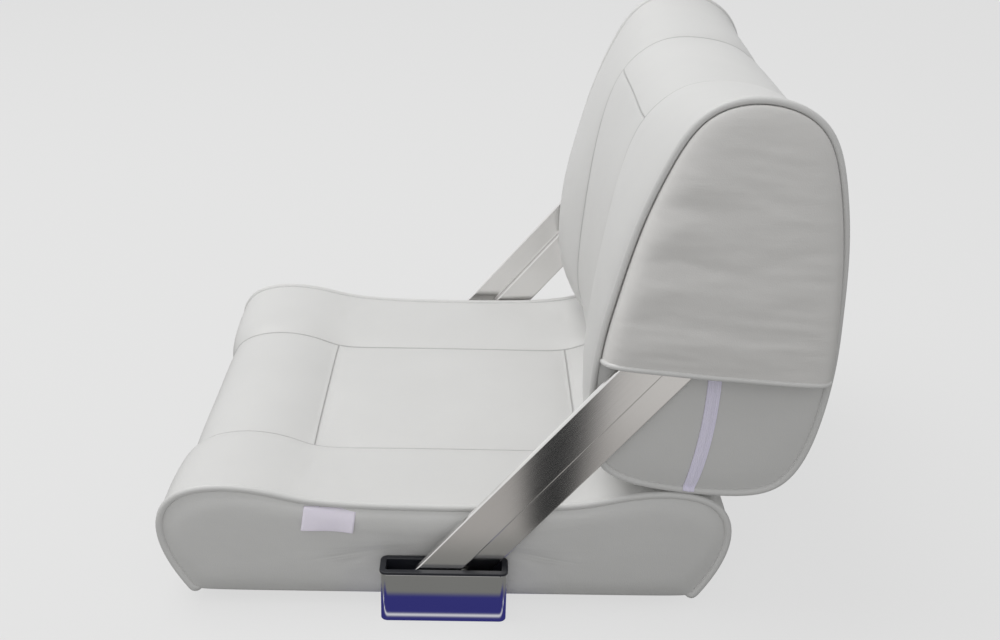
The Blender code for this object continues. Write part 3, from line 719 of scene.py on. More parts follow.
@dataclass(frozen=True)
class Vinyl:
    """Marine vinyl: fine grain, slow waves, and the sewn lines of its piece.

    Args:
        name: The finish's name.
        colour: Its colour.
        roughness: Its mean roughness.
        seams: Which sewn lines it carries.
        grain: The depth of the grain in metres.
        waves: The depth of the slow waves in metres.
        hairlines: The depth of the fine crosswise lines in metres.
        cells: How many cells of grain a metre has.
        fine: The finer noise in the grain.
        skin: The shares of the cells and of that noise in the grain.
        swells: The slow waves, and how they are stretched.
        tone: The patches of tone, from what to what they show, and their shade.
        pulled: The crosswise lines, how they are stretched, and how they are turned.
        patches: Where the lines show, and from what to what.
        rough: How much the fine noise and the tone change the roughness.
        painted_seam_shade: How strongly a sewn line is darkened with painted shade of its
            groove, and that shade's share of the colour.
    """

    name: str
    colour: Colour
    roughness: float
    seams: Seams = Seams.NONE
    grain: float = 0.00010
    waves: float = 0.0006
    hairlines: float = 0.00012
    cells: float = 1100.0
    fine: Clouds = Clouds(2600.0, 2.0)
    skin: Pair = (0.75, 0.35)
    swells: tuple[Clouds, Triple] = (Clouds(26.0, 2.0, 0.45), (1.0, 1.0, 1.7))
    tone: tuple[Clouds, Pair, float] = (Clouds(7.0, 4.0, 0.55), (0.30, 0.72), 0.965)
    pulled: tuple[Clouds, Triple, Triple] = (
        Clouds(2.4, 4.0, 0.62), (14.0, 14.0, 150.0), (0.06, 0.0, 0.0))
    patches: tuple[Clouds, Pair] = (Clouds(15.0, 2.0), (0.46, 0.66))
    rough: Pair = (0.10, 0.08)
    painted_seam_shade: Pair = (0.38, 0.42)

    def seam_distances(self, graph: Graph) -> list[tuple[Value, Value]]:
        """Measure how far each sewn line is from the place on the piece.

        Args:
            graph: The material that is being built.

        Returns:
            Each line's distance, with the mask of where it runs.
        """
        x, y, z = graph.axes()
        reach = abs(x)
        if self.seams is Seams.SEAT:
            seam = HALF_WIDTH - SEAT_BOLSTER_WIDTH
            inside = 1.0 - reach.above(seam - LINE_FADE, seam + LINE_FADE)
            top = z.above(*SEAT_CROSS_RISE)
            cross = [(y - place, inside * top) for place in SEAT_CROSS_SEAMS]
            return [(reach - seam, z.above(*SEAT_SEAM_RISE)), *cross]
        seam = HALF_WIDTH - BACK_BOLSTER_WIDTH
        inside = 1.0 - reach.above(seam - LINE_FADE, seam + LINE_FADE)
        front = 1.0 - y.above(*BACK_FRONT_FADE)
        return [(reach - seam, z.above(*BACK_SEAM_RISE)),
                (z - BACK_CROSS_SEAM_TOP, inside * front)]

    def material(self) -> bpy.types.Material:
        """Build the finish.

        Returns:
            The material.
        """
        graph = Graph(self.name)
        place = graph.place()
        grain = graph.cells(place, self.cells, "SMOOTH_F1")
        fine = graph.clouds(place, self.fine)
        skin = grain * self.skin[0] + fine * self.skin[1]
        kind, stretch = self.swells
        waves = graph.clouds(graph.stretched(stretch), kind)
        kind, shown, shade = self.tone
        tone = graph.clouds(place, kind)
        colour = graph.blend(tone.above(*shown), tinted(self.colour, shade), self.colour)
        normal = graph.relief(waves, self.waves)
        kind, stretch, turn = self.pulled
        pulled = graph.clouds(graph.stretched(stretch, turn), kind)
        kind, shown = self.patches
        patches = graph.clouds(place, kind).above(*shown)
        normal = graph.relief(pulled * patches, self.hairlines, normal)
        rough = self.roughness + (fine - 0.5) * self.rough[0] + (tone - 0.5) * self.rough[1]
        if self.seams is not Seams.NONE:
            sunk: Value | None = None
            for distance, mask in self.seam_distances(graph):
                line = distance.bell(LINE_WIDTH) * mask
                sunk = line if sunk is None else graph.maths("MAXIMUM", sunk, line)
            # Each sewn line is darkened with painted shade of its groove, on top of the groove's
            # bump below.
            strength, shade = self.painted_seam_shade
            colour = graph.blend(sunk * strength, colour, tinted(self.colour, shade))
            normal = graph.relief(sunk * -1.0, LINE_DEPTH, normal)
        normal = graph.relief(skin, self.grain, normal)
        return graph.surface(Base_Color=colour, Roughness=rough, Normal=normal)


@dataclass(frozen=True)
class Steel:
    """Polished stainless steel with fine lines along one way.

    Args:
        name: The finish's name.
        colour: Its colour.
        roughness: Its mean roughness.
        turn: How the lines are turned about the sideways axis.
        lines: The depth of the lines in metres.
        stretch: How the lines are drawn out along one way.
        strokes: The lines.
        marks: The few stronger ones, and from what to what they show.
        smears: The smears on the steel.
        shade: The shade of the smears.
        rough: How much lines, smears and marks change the roughness.
    """

    name: str
    colour: Colour = (0.66, 0.65, 0.64)
    roughness: float = 0.17
    turn: float = 0.0
    lines: float = 0.000008
    stretch: Triple = (900.0, 9.0, 900.0)
    strokes: Clouds = Clouds(1.0, 3.0, 0.6)
    marks: tuple[Clouds, Pair] = (Clouds(0.22, 2.0), (0.60, 0.80))
    smears: Clouds = Clouds(18.0, 4.0, 0.6)
    shade: float = 0.94
    rough: Triple = (0.06, 0.06, 0.02)

    def material(self) -> bpy.types.Material:
        """Build the finish.

        Returns:
            The material.
        """
        graph = Graph(self.name)
        along = graph.stretched(self.stretch, (self.turn, 0.0, 0.0))
        lines = graph.clouds(along, self.strokes)
        smears = graph.clouds(graph.place(), self.smears)
        kind, shown = self.marks
        marks = graph.clouds(along, kind).above(*shown)
        by_line, by_smear, by_mark = self.rough
        rough = (self.roughness + (lines - 0.5) * by_line + (smears - 0.5) * by_smear
                 + marks * by_mark)
        colour = graph.blend(smears, tinted(self.colour, self.shade), self.colour)
        normal = graph.relief(lines, self.lines)
        return graph.surface(Base_Color=colour, Roughness=rough, Metallic=1.0, Normal=normal)


@dataclass(frozen=True)
class Zinc:
    """Zinc plating with its faint mottling, on small fittings.

    Args:
        name: The finish's name.
        colour: Its colour.
        roughness: Its least roughness.
        flakes: How many flakes a metre has, and how much they change the roughness.
        dull: The dull patches, their shade, and how much they change the roughness.
        pits: The pits and their depth in metres.
    """

    name: str = "zinc_plate"
    colour: Colour = (0.56, 0.56, 0.54)
    roughness: float = 0.28
    flakes: Pair = (420.0, 0.12)
    dull: tuple[Clouds, float, float] = (Clouds(90.0), 0.86, 0.12)
    pits: tuple[Clouds, float] = (Clouds(900.0, 2.0), 0.00003)

    def material(self) -> bpy.types.Material:
        """Build the finish.

        Returns:
            The material.
        """
        graph = Graph(self.name)
        place = graph.place()
        scale, by_flake = self.flakes
        flakes = graph.cells(place, scale)
        kind, shade, by_patch = self.dull
        dull = graph.clouds(place, kind)
        colour = graph.blend(dull, tinted(self.colour, shade), self.colour)
        kind, depth = self.pits
        normal = graph.relief(graph.clouds(place, kind), depth)
        rough = self.roughness + flakes * by_flake + dull * by_patch
        return graph.surface(Base_Color=colour, Roughness=rough, Metallic=1.0, Normal=normal)


@dataclass(frozen=True)
class Moulded:
    """Moulded plastic with a fine spark texture.

    Args:
        name: The finish's name.
        colour: Its colour.
        roughness: Its mean roughness.
        pits: The spark texture and its depth in metres.
        rubbed: The rubbed patches.
        worn: How much brighter a rubbed patch is, and what is added to it.
        rough: How much the pits and the patches change the roughness.
    """

    name: str
    colour: Colour
    roughness: float
    pits: tuple[Clouds, float] = (Clouds(1900.0, 3.0, 0.6), 0.00005)
    rubbed: Clouds = Clouds(60.0, 3.0, 0.6)
    worn: Pair = (1.25, 0.004)
    rough: Pair = (0.14, 0.12)

    def material(self) -> bpy.types.Material:
        """Build the finish.

        Returns:
            The material.
        """
        graph = Graph(self.name)
        place = graph.place()
        kind, depth = self.pits
        pits = graph.clouds(place, kind)
        rubbed = graph.clouds(place, self.rubbed)
        colour = graph.blend(rubbed, self.colour, tinted(self.colour, *self.worn))
        rough = self.roughness + (pits - 0.5) * self.rough[0] + (rubbed - 0.5) * self.rough[1]
        return graph.surface(Base_Color=colour, Roughness=rough,
                             Normal=graph.relief(pits, depth))


@dataclass(frozen=True)
class Plywood:
    """Sealed birch plywood: grain along its length and plies on its edges.

    Args:
        name: The finish's name.
        pale: The colour of the pale grain.
        dark: The colour of the dark grain.
        ply: From one ply to the next but one, in metres.
        ply_shown: From what to what a ply's edge shows, and how strongly.
        grain: The grain and how it is stretched.
        grain_shown: From what to what the dark grain shows.
        rough: The least roughness, and how much the grain adds.
        depth: The depth of the grain in metres.
    """

    name: str = "sealed_plywood"
    pale: Colour = (0.56, 0.41, 0.25)
    dark: Colour = (0.36, 0.23, 0.12)
    ply: float = 0.0026
    ply_shown: tuple[Pair, float] = ((0.35, 0.65), 0.22)
    grain: tuple[Clouds, Triple] = (Clouds(4.0, 5.0, 0.6), (2.2, 46.0, 46.0))
    grain_shown: Pair = (0.35, 0.7)
    rough: Pair = (0.48, 0.2)
    depth: float = 0.00015

    def material(self) -> bpy.types.Material:
        """Build the finish.

        Returns:
            The material.
        """
        graph = Graph(self.name)
        kind, stretch = self.grain
        grain = graph.clouds(graph.stretched(stretch), kind)
        _, _, height = graph.axes()
        shown, strength = self.ply_shown
        plies = (height.wave(self.ply) * 0.5 + 0.5).above(*shown)
        colour = graph.blend(grain.above(*self.grain_shown), self.pale, self.dark)
        colour = graph.blend(plies * strength, colour, self.dark)
        return graph.surface(Base_Color=colour, Roughness=self.rough[0] + grain * self.rough[1],
                             Normal=graph.relief(grain, self.depth))


@dataclass(frozen=True)
class Woven:
    """A narrow woven tape with threads along and across it.

    Args:
        name: The finish's name.
        colour: Its colour.
        shade: The colour between its threads.
        thread: The spacing of its threads in metres.
        depth: How far the threads stand up.
        wear: The worn patches.
        tone: The shares of the threads and of the wear in its tone.
        rough: Its mean roughness, and how much the wear changes it.
    """

    name: str
    colour: Colour
    shade: Colour
    thread: float
    depth: float
    wear: Clouds = Clouds(70.0)
    tone: Pair = (0.6, 0.4)
    rough: Pair = (0.68, 0.2)

    def material(self) -> bpy.types.Material:
        """Build the finish.

        Returns:
            The material.
        """
        graph = Graph(self.name)
        _, y, z = graph.axes()
        along = y.wave(self.thread)
        across = z.wave(self.thread)
        weave = along * across * 0.5 + 0.5
        wear = graph.clouds(graph.place(), self.wear)
        tone = weave * self.tone[0] + wear * self.tone[1]
        colour = graph.blend(tone, self.shade, self.colour)
        rough = self.rough[0] + (wear - 0.5) * self.rough[1]
        return graph.surface(Base_Color=colour, Roughness=rough,
                             Normal=graph.relief(weave, self.depth))


@dataclass
class Cushion:
    """A padded form lofted through rings, out from the middle to its flat side.

    Args:
        name: The piece's name.
        half_depth: Half of its side outline's depth.
        height: The height that the outline shares are of.
        base: The height at which the outline shares are zero.
        bolster_width: From the side in to the sewn seam.
        crown_reach: From the side in to the bolster's highest ring.
        insert_share: How far the ring inside the seam goes towards the seam's outline.
        rise_share: How far the ring outside the seam goes towards the crown's outline.
        shoulder_share: How far the shoulder goes from the crown to the side.
        side: Half outline of the flat side.
        crown: Half outline of the bolster's crown.
        seam: Half outline at the seam.
        middle: Half outline at the middle.
        panel: For each ring of the side panel, its distance inside the side and its rise.
        levels: How many times the cage is smoothed.
    """

    name: str
    half_depth: float
    height: float
    base: float
    bolster_width: float
    crown_reach: float
    insert_share: float
    rise_share: float
    shoulder_share: float
    side: tuple[Pair, ...]
    crown: tuple[Pair, ...]
    seam: tuple[Pair, ...]
    middle: tuple[Pair, ...]
    panel: tuple[Pair, ...]
    levels: int = 3

    def outline(self, shares: tuple[Pair, ...]) -> Outline:
        """Return a whole loop of this cushion from its half outline."""
        return full_outline(shares, self.half_depth, self.height, self.base)

    def rings(self) -> list[Ring]:
        """Draw the cage's rings.

        Returns:
            Each ring's place and loop, from the middle plane to the flat side.
        """
        side, crown = self.outline(self.side), self.outline(self.crown)
        seam, middle = self.outline(self.seam), self.outline(self.middle)
        seam_x = self.inner()
        return [
            (0.0, middle),
            (seam_x - SEAM_REACH, between(middle, seam, self.insert_share)),
            (seam_x, inset(seam, SEAM_DEPTH)),
            (seam_x + SEAM_REACH, between(seam, crown, self.rise_share)),
            (HALF_WIDTH - self.crown_reach, crown),
            (HALF_WIDTH - SHOULDER_REACH, between(crown, side, self.shoulder_share)),
            (HALF_WIDTH - LIP_REACH, inset(side, LIP_INSET)),
            (HALF_WIDTH - TURN_REACH, inset(side, TURN_INSET)),
            (HALF_WIDTH, drawn_in(side, SIDE_INSET)),
            *((HALF_WIDTH + rise, drawn_in(side, distance)) for distance, rise in self.panel),
        ]

    def inner(self) -> float:
        """Return how far out the sewn seam lies."""
        return HALF_WIDTH - self.bolster_width

    def welt_line(self, distance: float) -> Outline:
        """Return the smooth line that piping follows, a distance inside the side outline."""
        return rounded(inset(self.outline(self.side), distance), OUTLINE_ROUNDS)

    def form(self) -> bpy.types.Object:
        """Loft the rings, mirror them and smooth the cage.

        Returns:
            The cushion's smooth body, in its own frame.
        """
        bm = bmesh.new()
        last: list[bmesh.types.BMEdge] = []
        for x, outline in self.rings():
            verts = [bm.verts.new((x, y, z)) for y, z in outline]
            loop = [bm.edges.new(pair) for pair in zip(verts, verts[1:] + verts[:1])]
            if last:
                bmesh.ops.bridge_loops(bm, edges=last + loop)
            last = loop
        bmesh.ops.contextual_create(bm, geom=last)
        whole = bm.verts[:] + bm.edges[:] + bm.faces[:]
        bmesh.ops.mirror(bm, geom=whole, matrix=Matrix.Identity(4), merge_dist=MERGE_DISTANCE,
                         axis="X")
        bmesh.ops.recalc_face_normals(bm, faces=bm.faces)
        piece = made(self.name, bm)
        subdivided(piece, self.levels)
        return piece


def seat_form() -> Cushion:
    """Set the seat cushion's sizes.

    Returns:
        The cushion, with its outlines fitted to the photograph.
    """
    side = (
        (0.286, 0.842), (0.495, 0.886), (0.576, 0.942), (0.741, 1.014), (0.934, 0.957),
        (1.007, 0.668), (0.968, 0.313), (0.890, 0.030), (0.872, 0.000), (0.448, 0.000),
    )
    return Cushion(
        name="seat_cover", half_depth=0.2475, height=0.1095, base=0.007,
        bolster_width=SEAT_BOLSTER_WIDTH, crown_reach=0.0622,
        insert_share=0.5, rise_share=0.5, shoulder_share=1.0,
        side=side, crown=side,
        seam=(
            (0.285, 0.775), (0.492, 0.762), (0.562, 0.850), (0.710, 0.940), (0.895, 0.890),
            (0.985, 0.655), (0.955, 0.300), (0.886, 0.030), (0.870, 0.000), (0.448, 0.000),
        ),
        middle=(
            (0.285, 0.800), (0.492, 0.762), (0.562, 0.862), (0.710, 0.955), (0.895, 0.897),
            (0.982, 0.655), (0.952, 0.300), (0.884, 0.030), (0.868, 0.000), (0.448, 0.000),
        ),
        panel=((0.015, 0.0026), (0.030, 0.0050)),
    )


def back_form() -> Cushion:
    """Set the backrest cushion's sizes, in the leaning frame.

    Returns:
        The cushion, with its outlines fitted to the photograph.
    """
    return Cushion(
        name="backrest_cover", half_depth=0.0945, height=0.1610, base=0.0,
        bolster_width=BACK_BOLSTER_WIDTH, crown_reach=0.0362,
        insert_share=0.6, rise_share=0.4, shoulder_share=0.6,
        side=(
            (0.222, 0.989), (0.578, 0.869), (0.758, 0.599), (0.902, 0.290), (0.984, -0.071),
            (1.047, -0.359), (1.018, -0.807), (0.843, -1.062), (0.453, -1.138),
        ),
        crown=(
            (0.215, 0.922), (0.560, 0.838), (0.780, 0.592), (0.950, 0.288), (1.040, -0.068),
            (1.090, -0.385), (1.050, -0.800), (0.860, -1.062), (0.450, -1.136),
        ),
        seam=(
            (0.300, 0.875), (0.600, 0.770), (0.845, 0.585), (0.930, 0.280), (0.945, -0.050),
            (0.935, -0.400), (0.905, -0.760), (0.770, -1.000), (0.400, -1.110),
        ),
        middle=(
            (0.300, 0.865), (0.600, 0.770), (0.815, 0.575), (0.870, 0.280), (0.880, -0.050),
            (0.875, -0.400), (0.870, -0.760), (0.760, -1.000), (0.400, -1.110),
        ),
        panel=((0.018, 0.0026), (0.042, 0.0050)),
    )


@dataclass
class Padding:
    """The swelling of a sewn cover over its foam, by cloth simulation.

    Args:
        pressure: How hard the foam pushes.
        frames: How many steps the simulation runs.
        cap: The furthest that a point may move, in metres.
        mass: The weight of each point of the cover.
        quality: How many times each step is worked out.
    """

    pressure: float = 4.0
    frames: int = 20
    cap: float = 0.0035
    mass: float = 0.4
    quality: int = 4

    def swell(self, piece: bpy.types.Object, grip: Callable[[Vector], float]) -> None:
        """Swell a cover between the lines that hold it, and keep the result.

        Args:
            piece: The cover, as its cage was smoothed.
            grip: Gives how firmly a point is held, from 0 to 1.
        """
        held = piece.vertex_groups.new(name="held")
        start = [vert.co.copy() for vert in piece.data.vertices]
        firm = [grip(spot) for spot in start]
        for index, weight in enumerate(firm):
            held.add([index], weight, "REPLACE")
        cloth = piece.modifiers.new("cloth", "CLOTH")
        cloth.settings.quality = self.quality
        cloth.settings.mass = self.mass
        cloth.settings.vertex_group_mass = held.name
        cloth.settings.use_pressure = True
        cloth.settings.uniform_pressure_force = self.pressure
        cloth.settings.effector_weights.gravity = 0.0
        cloth.collision_settings.use_collision = False
        cloth.point_cache.frame_start = 1
        cloth.point_cache.frame_end = self.frames
        for step in range(1, self.frames + 1):
            bpy.context.scene.frame_set(step)
        depsgraph = bpy.context.evaluated_depsgraph_get()
        swollen = [vert.co.copy() for vert in piece.evaluated_get(depsgraph).data.vertices]
        piece.modifiers.clear()
        bpy.context.scene.frame_set(1)
        furthest = 0.0
        for vert, before, after, weight in zip(piece.data.vertices, start, swollen, firm):
            shift = after - before
            reach = self.cap * (1 - weight)
            if shift.length > NO_LENGTH:
                vert.co = before + shift.normalized() * reach * math.tanh(
                    shift.length / max(reach, LEAST_REACH))
            furthest = max(furthest, shift.length)
        piece.vertex_groups.clear()
        LOG.info("%s swelled, uncapped reach %.1f mm", piece.name, furthest * 1000)


@dataclass
class Seat:
    """The seat cushion with its welts.

    Args:
        shape: The cushion's sizes.
        welt_inset: How far inside the side outline the welt runs.
        tail: How far each end of the welt runs on into the cushion.
        board_room: Lowest and highest corner of the room that the board takes.
        socket_half: Half the length of the place where a socket presses the side in.
        socket_top: How high that place goes.
        socket_face: How far out the side may stand there.
        pin_face: How far out it may stand behind the pins' heads.
        spread: How far from the socket the side is back at its own fullness.
        fullness: How much further out the side may stand there.
        heads_end: From where to where, along the side, the room for the pins' heads ends.
        heads_top: From what height to what height it ends.
        blend: How softly the pressed place runs out.
        foot_grip: The heights between which the board lets go of the cover.
        tail_start: The height at which the welt turns in, in radii above the cushion's foot.
        tail_steps: How many points each tucked end has.
        tail_turn: The share of those points in which it turns.
        tail_way: How far the tucked end runs in, back and up, as shares of its length.
        padding: How the cover swells.
    """

    shape: Cushion = field(default_factory=seat_form)
    welt_inset: float = 0.0021
    tail: float = 0.012
    board_room: tuple[Sequence[float], Sequence[float]] = (
        (-0.1953, -0.2003, -0.002), (0.1953, 0.2003, 0.0153))
    socket_half: float = 0.0550
    socket_top: float = 0.0510
    socket_face: float = 0.2220
    pin_face: float = 0.2202
    spread: float = 0.030
    fullness: float = 0.0045
    heads_end: Pair = (0.032, 0.048)
    heads_top: Pair = (0.0455, 0.0530)
    blend: float = 0.0022
    foot_grip: Pair = (0.012, 0.032)
    tail_start: float = 1.7
    tail_steps: int = 12
    tail_turn: float = 0.5
    tail_way: Triple = (0.8, 0.5, 0.33)
    padding: Padding = field(default_factory=Padding)

    def grip(self, spot: Vector) -> float:
        """Feel how firmly the seams, the welts and the board hold the cover.

        Args:
            spot: A point of the cover.

        Returns:
            From 0, free, to 1, held.
        """
        reach = abs(spot.x)
        firm = sewn(reach - self.shape.inner())
        if reach < self.shape.inner() and spot.z > SEAT_TOP_FROM:
            firm = max(firm, *(sewn(spot.y - y) for y in SEAT_CROSS_SEAMS))
        firm = max(firm, smooth_step(*WELT_GRIP, reach))
        return max(firm, 1 - smooth_step(*self.foot_grip, spot.z))

    def cushion(self) -> bpy.types.Object:
        """Build the seat cushion, pressed in at its sockets and hollowed for the board.

        Returns:
            The cushion.
        """
        piece = self.shape.form()
        self.padding.swell(piece, self.grip)
        for vert in piece.data.vertices:
            away = math.hypot(max(abs(vert.co.y) - self.socket_half, 0.0),
                              max(vert.co.z - self.socket_top, 0.0))
            limit = self.socket_face + self.fullness * smooth_step(0.0, self.spread, away)
            heads = 1 - smooth_step(*self.heads_end, abs(vert.co.y))
            heads *= 1 - smooth_step(*self.heads_top, vert.co.z)
            limit += (self.pin_face - self.socket_face) * heads
            vert.co.x = math.copysign(soft_least(abs(vert.co.x), limit, self.blend), vert.co.x)
        hollowed(piece, *self.board_room)
        return piece

    def welt(self, side: int, label: str) -> bpy.types.Object:
        """Build one side's run of piping, with both ends tucked in at the bottom corners.

        Args:
            side: Which side of the seat it is on.
            label: That side's name.

        Returns:
            The piping.
        """
        line = self.shape.welt_line(self.welt_inset)
        lowest = self.shape.base + WELT_RADIUS * self.tail_start
        start = next(i for i, point in enumerate(line) if point[1] > lowest and point[0] > 0)
        end = max(i for i, point in enumerate(line) if point[1] > lowest and point[0] < 0)
        x = side * (HALF_WIDTH - WELT_BURY)
        path = [Vector((x, y, z)) for y, z in line[start:end + 1]]
        first = self.tucked(side, path[0], path[1])
        last = self.tucked(side, path[-1], path[-2])
        bm = bmesh.new()
        sweep(bm, first[::-1] + path + last, WELT_RADIUS, WELT_SIDES, closed=False)
        return made(f"seat_piping_{label}", bm)

    def tucked(self, side: int, end: Vector, before: Vector) -> list[Vector]:
        """Run one end of the piping on into the cushion.

        Args:
            side: Which side of the seat it is on.
            end: The last point that shows.
            before: The point before it.

        Returns:
            The points of the tucked end.
        """
        ahead = (end - before).normalized()
        out, back, up = self.tail_way
        inward = Vector((-out * side, -math.copysign(back, end.y), up))
        tail, point = [], end
        for step in range(1, self.tail_steps + 1):
            turn = math.pi / 2 * min(step / (self.tail_steps * self.tail_turn), 1.0)
            way = ahead * math.cos(turn) + inward * math.sin(turn)
            point = point + way * self.tail / self.tail_steps
            tail.append(point.copy())
        return tail


@dataclass
class Backrest:
    """The backrest cushion with its welts.

    Args:
        shape: The cushion's sizes, in the leaning frame.
        welt_inset: How far inside the side outline the welt runs.
        core_room: Lowest and highest corner of the tunnel for the core.
        cross_seam: The height of the face's cross seam, in the leaning frame.
        foot_grip: How far below that frame's centre the foot's hold begins and is full.
        padding: How the cover swells.
    """

    shape: Cushion = field(default_factory=back_form)
    welt_inset: float = 0.0024
    core_room: tuple[Sequence[float], Sequence[float]] = (
        (-0.2300, 0.1798, 0.2435), (0.2300, 0.2444, 0.3341))
    cross_seam: float = 0.0982
    foot_grip: Pair = (0.135, 0.160)
    padding: Padding = field(default_factory=Padding)

    def grip(self, spot: Vector) -> float:
        """Feel how firmly the seams, the welts and the foot hold the cover.

        Args:
            spot: A point of the cover, in the leaning frame.

        Returns:
            From 0, free, to 1, held.
        """
        reach = abs(spot.x)
        firm = sewn(reach - self.shape.inner())
        if reach < self.shape.inner() and spot.y < 0:
            firm = max(firm, sewn(spot.z - self.cross_seam))
        firm = max(firm, smooth_step(*self.foot_grip, -spot.z))
        return max(firm, smooth_step(*WELT_GRIP, reach))

    def cushion(self) -> bpy.types.Object:
        """Build the backrest cushion, with the tunnel for its core.

        Returns:
            The cushion.
        """
        piece = self.shape.form()
        self.padding.swell(piece, self.grip)
        piece.data.transform(leaning())
        hollowed(piece, *self.core_room)
        return piece

    def welt(self, side: int, label: str) -> bpy.types.Object:
        """Build one side's ring of piping.

        Args:
            side: Which side of the backrest it is on.
            label: That side's name.

        Returns:
            The piping.
        """
        x = side * (HALF_WIDTH - WELT_BURY)
        path = [leaning() @ Vector((x, y, z)) for y, z in self.shape.welt_line(self.welt_inset)]
        bm = bmesh.new()
        sweep(bm, path, WELT_RADIUS, WELT_SIDES, closed=True)
        return made(f"backrest_piping_{label}", bm)


@dataclass(frozen=True)
class Ripple:
    """One layer of unevenness in hanging cloth.

    Args:
        along: How many swells a metre has along the hem.
        upward: How many lie between the hem and the top.
        row: Where in the noise they are read.
        level: What is added before they are scaled.
        height: How far a swell stands out.
    """

    along: float
    upward: float
    row: float
    level: float
    height: float

    def at(self, side: int, depth: float, rise: float) -> float:
        """Return how far the layer stands out at a place."""
        swell = noise.noise(Vector((depth * self.along, rise * self.upward, self.row * side)))
        return (swell + self.level) * self.height


@dataclass
class SideFlap:
    """A flap that is sewn in at the backrest's welt and hangs open over the bars.

    Args:
        shape: The backrest's sizes, for the seam that the flap is sewn to.
        edge_inset: How far inside the side outline the flap's edge lies.
        hem_drop: The hem's height at the seam, below the leaning frame's centre.
        hem_rise: How much higher the hem hangs where the flap stands out over the bars.
        hem_tilt: How much it rises towards the rear, for each metre.
        hem_power: How close to the hem that rise and tilt stay.
        wall_hem: How far the flap stands out just inside the seam, at the hem.
        wall_top: The same at the top.
        crown: How much further its middle stands out.
        thickness: The cloth's thickness.
        bead: The radius of the bound hem.
        bead_sides: How many sides the hem has.
        across: Faces along the seam.
        inward: Faces from the seam to the hem's middle.
        hem_steps: Points along each half of the hem.
        spacing: How much closer the faces lie towards the seam.
        seam_power: How squarely the flap turns in to its seam at the top.
        seam_power_gain: How much more squarely it does so at the hem.
        free_power: How close to the seam the folds die out.
        flat: The width and the length that it was cut to; not used.
        area: Its flat area, for its round cut; not used.
        slow: The broad folds.
        fine: The small folds between them.
        drift: How far the creases wander up and down.
        drift_along: How many times a metre they do so.
        drift_row: Where in the noise that is read.
        creases: Each soft crease's height, depth, slope, half length, width and rise.
    """

    shape: Cushion = field(default_factory=back_form)
    edge_inset: float = 0.0060
    hem_drop: float = 0.0664
    hem_rise: float = 0.0062
    hem_tilt: float = 0.028
    hem_power: int = 3
    wall_hem: float = 0.0225
    wall_top: float = 0.0075
    crown: float = 0.0030
    thickness: float = 0.0016
    bead: float = 0.0023
    bead_sides: int = 12
    across: int = 200
    inward: int = 90
    hem_steps: int = 60
    spacing: float = 1.35
    seam_power: float = 7
    seam_power_gain: float = 17
    free_power: float = 10
    flat: Pair = (0.222, 0.236)
    area: float = 0.0365
    slow: Ripple = Ripple(9.0, 3.0, 3.1, 0.9, 0.0012)
    fine: Ripple = Ripple(24.0, 31.0, 8.7, 0.4, 0.0005)
    drift: float = 0.05
    drift_along: float = 26.0
    drift_row: Pair = (2.0, 5.3)
    creases: tuple[tuple[float, ...], ...] = (
        (0.70, -0.050, 0.2, 0.040, 0.055, 0.0012), (0.61, -0.052, -0.4, 0.038, 0.030, -0.0013),
        (0.51, -0.060, 0.3, 0.036, 0.045, 0.0013), (0.41, -0.050, -0.3, 0.046, 0.028, -0.0012),
        (0.30, -0.055, 0.4, 0.050, 0.050, 0.0013), (0.19, -0.040, -0.2, 0.055, 0.030, -0.0010),
        (0.09, -0.030, 0.2, 0.060, 0.045, 0.0009), (0.47, 0.030, 1.2, 0.030, 0.035, -0.0006),
        (0.33, 0.040, 0.9, 0.034, 0.040, 0.0006), (0.66, 0.020, -1.4, 0.022, 0.028, -0.0005),
        (0.16, 0.045, 0.3, 0.040, 0.035, -0.0006),
    )

    @cached_property
    def edge(self) -> list[Vector]:
        """Draw the sewn edge in even steps.

        Returns:
            Its points, from the rear end of the hem over the top to the front end.
        """
        line = self.shape.welt_line(self.edge_inset)
        kept = [Vector(point) for point in line if point[1] > -self.hem_drop]
        kept[0].y = -self.hem_drop
        kept[-1].y = -self.hem_drop
        lengths = [0.0]
        for first, second in zip(kept, kept[1:]):
            lengths.append(lengths[-1] + (second - first).length)
        even = []
        for step in range(self.across + 1):
            reach = lengths[-1] * step / self.across
            index = max(i for i, length in enumerate(lengths) if length <= reach + NO_LENGTH)
            index = min(index, len(kept) - 2)
            span = lengths[index + 1] - lengths[index]
            even.append(kept[index].lerp(kept[index + 1], (reach - lengths[index]) / span))
        return even

    def standing(self, side: int, depth: float, height: float, share: float) -> float:
        """Return how far the flap stands out from the side panel.

        Args:
            side: Which side of the seat it hangs on.
            depth: How far back the place is, in the leaning frame.
            height: From 0 at the hem to 1 at the top.
            share: From 1 at the seam to 0 at the hem's middle.

        Returns:
            The distance in metres.
        """
        fall = (1 + math.cos(math.pi * height)) / 2
        wall = self.wall_top + (self.wall_hem - self.wall_top) * fall
        power = self.seam_power + self.seam_power_gain * fall
        free = 1 - share ** self.free_power
        row, layer = self.drift_row
        wander = noise.noise(Vector((depth * self.drift_along, row, layer * side)))
        drift = self.drift * wander
        folds = self.slow.at(side, depth, height)
        for rest, centre, slope, reach, width, rise in self.creases:
            off = (height + drift - rest - slope * (depth - centre)) / width
            folds += rise * math.exp(-off * off - ((depth - centre) / reach) ** 2)
        fine = self.fine.at(side, depth, height)
        rolled = self.crown * (1 - share ** 2)
        return wall * math.sqrt(1 - share ** power) + rolled + (folds + fine) * free

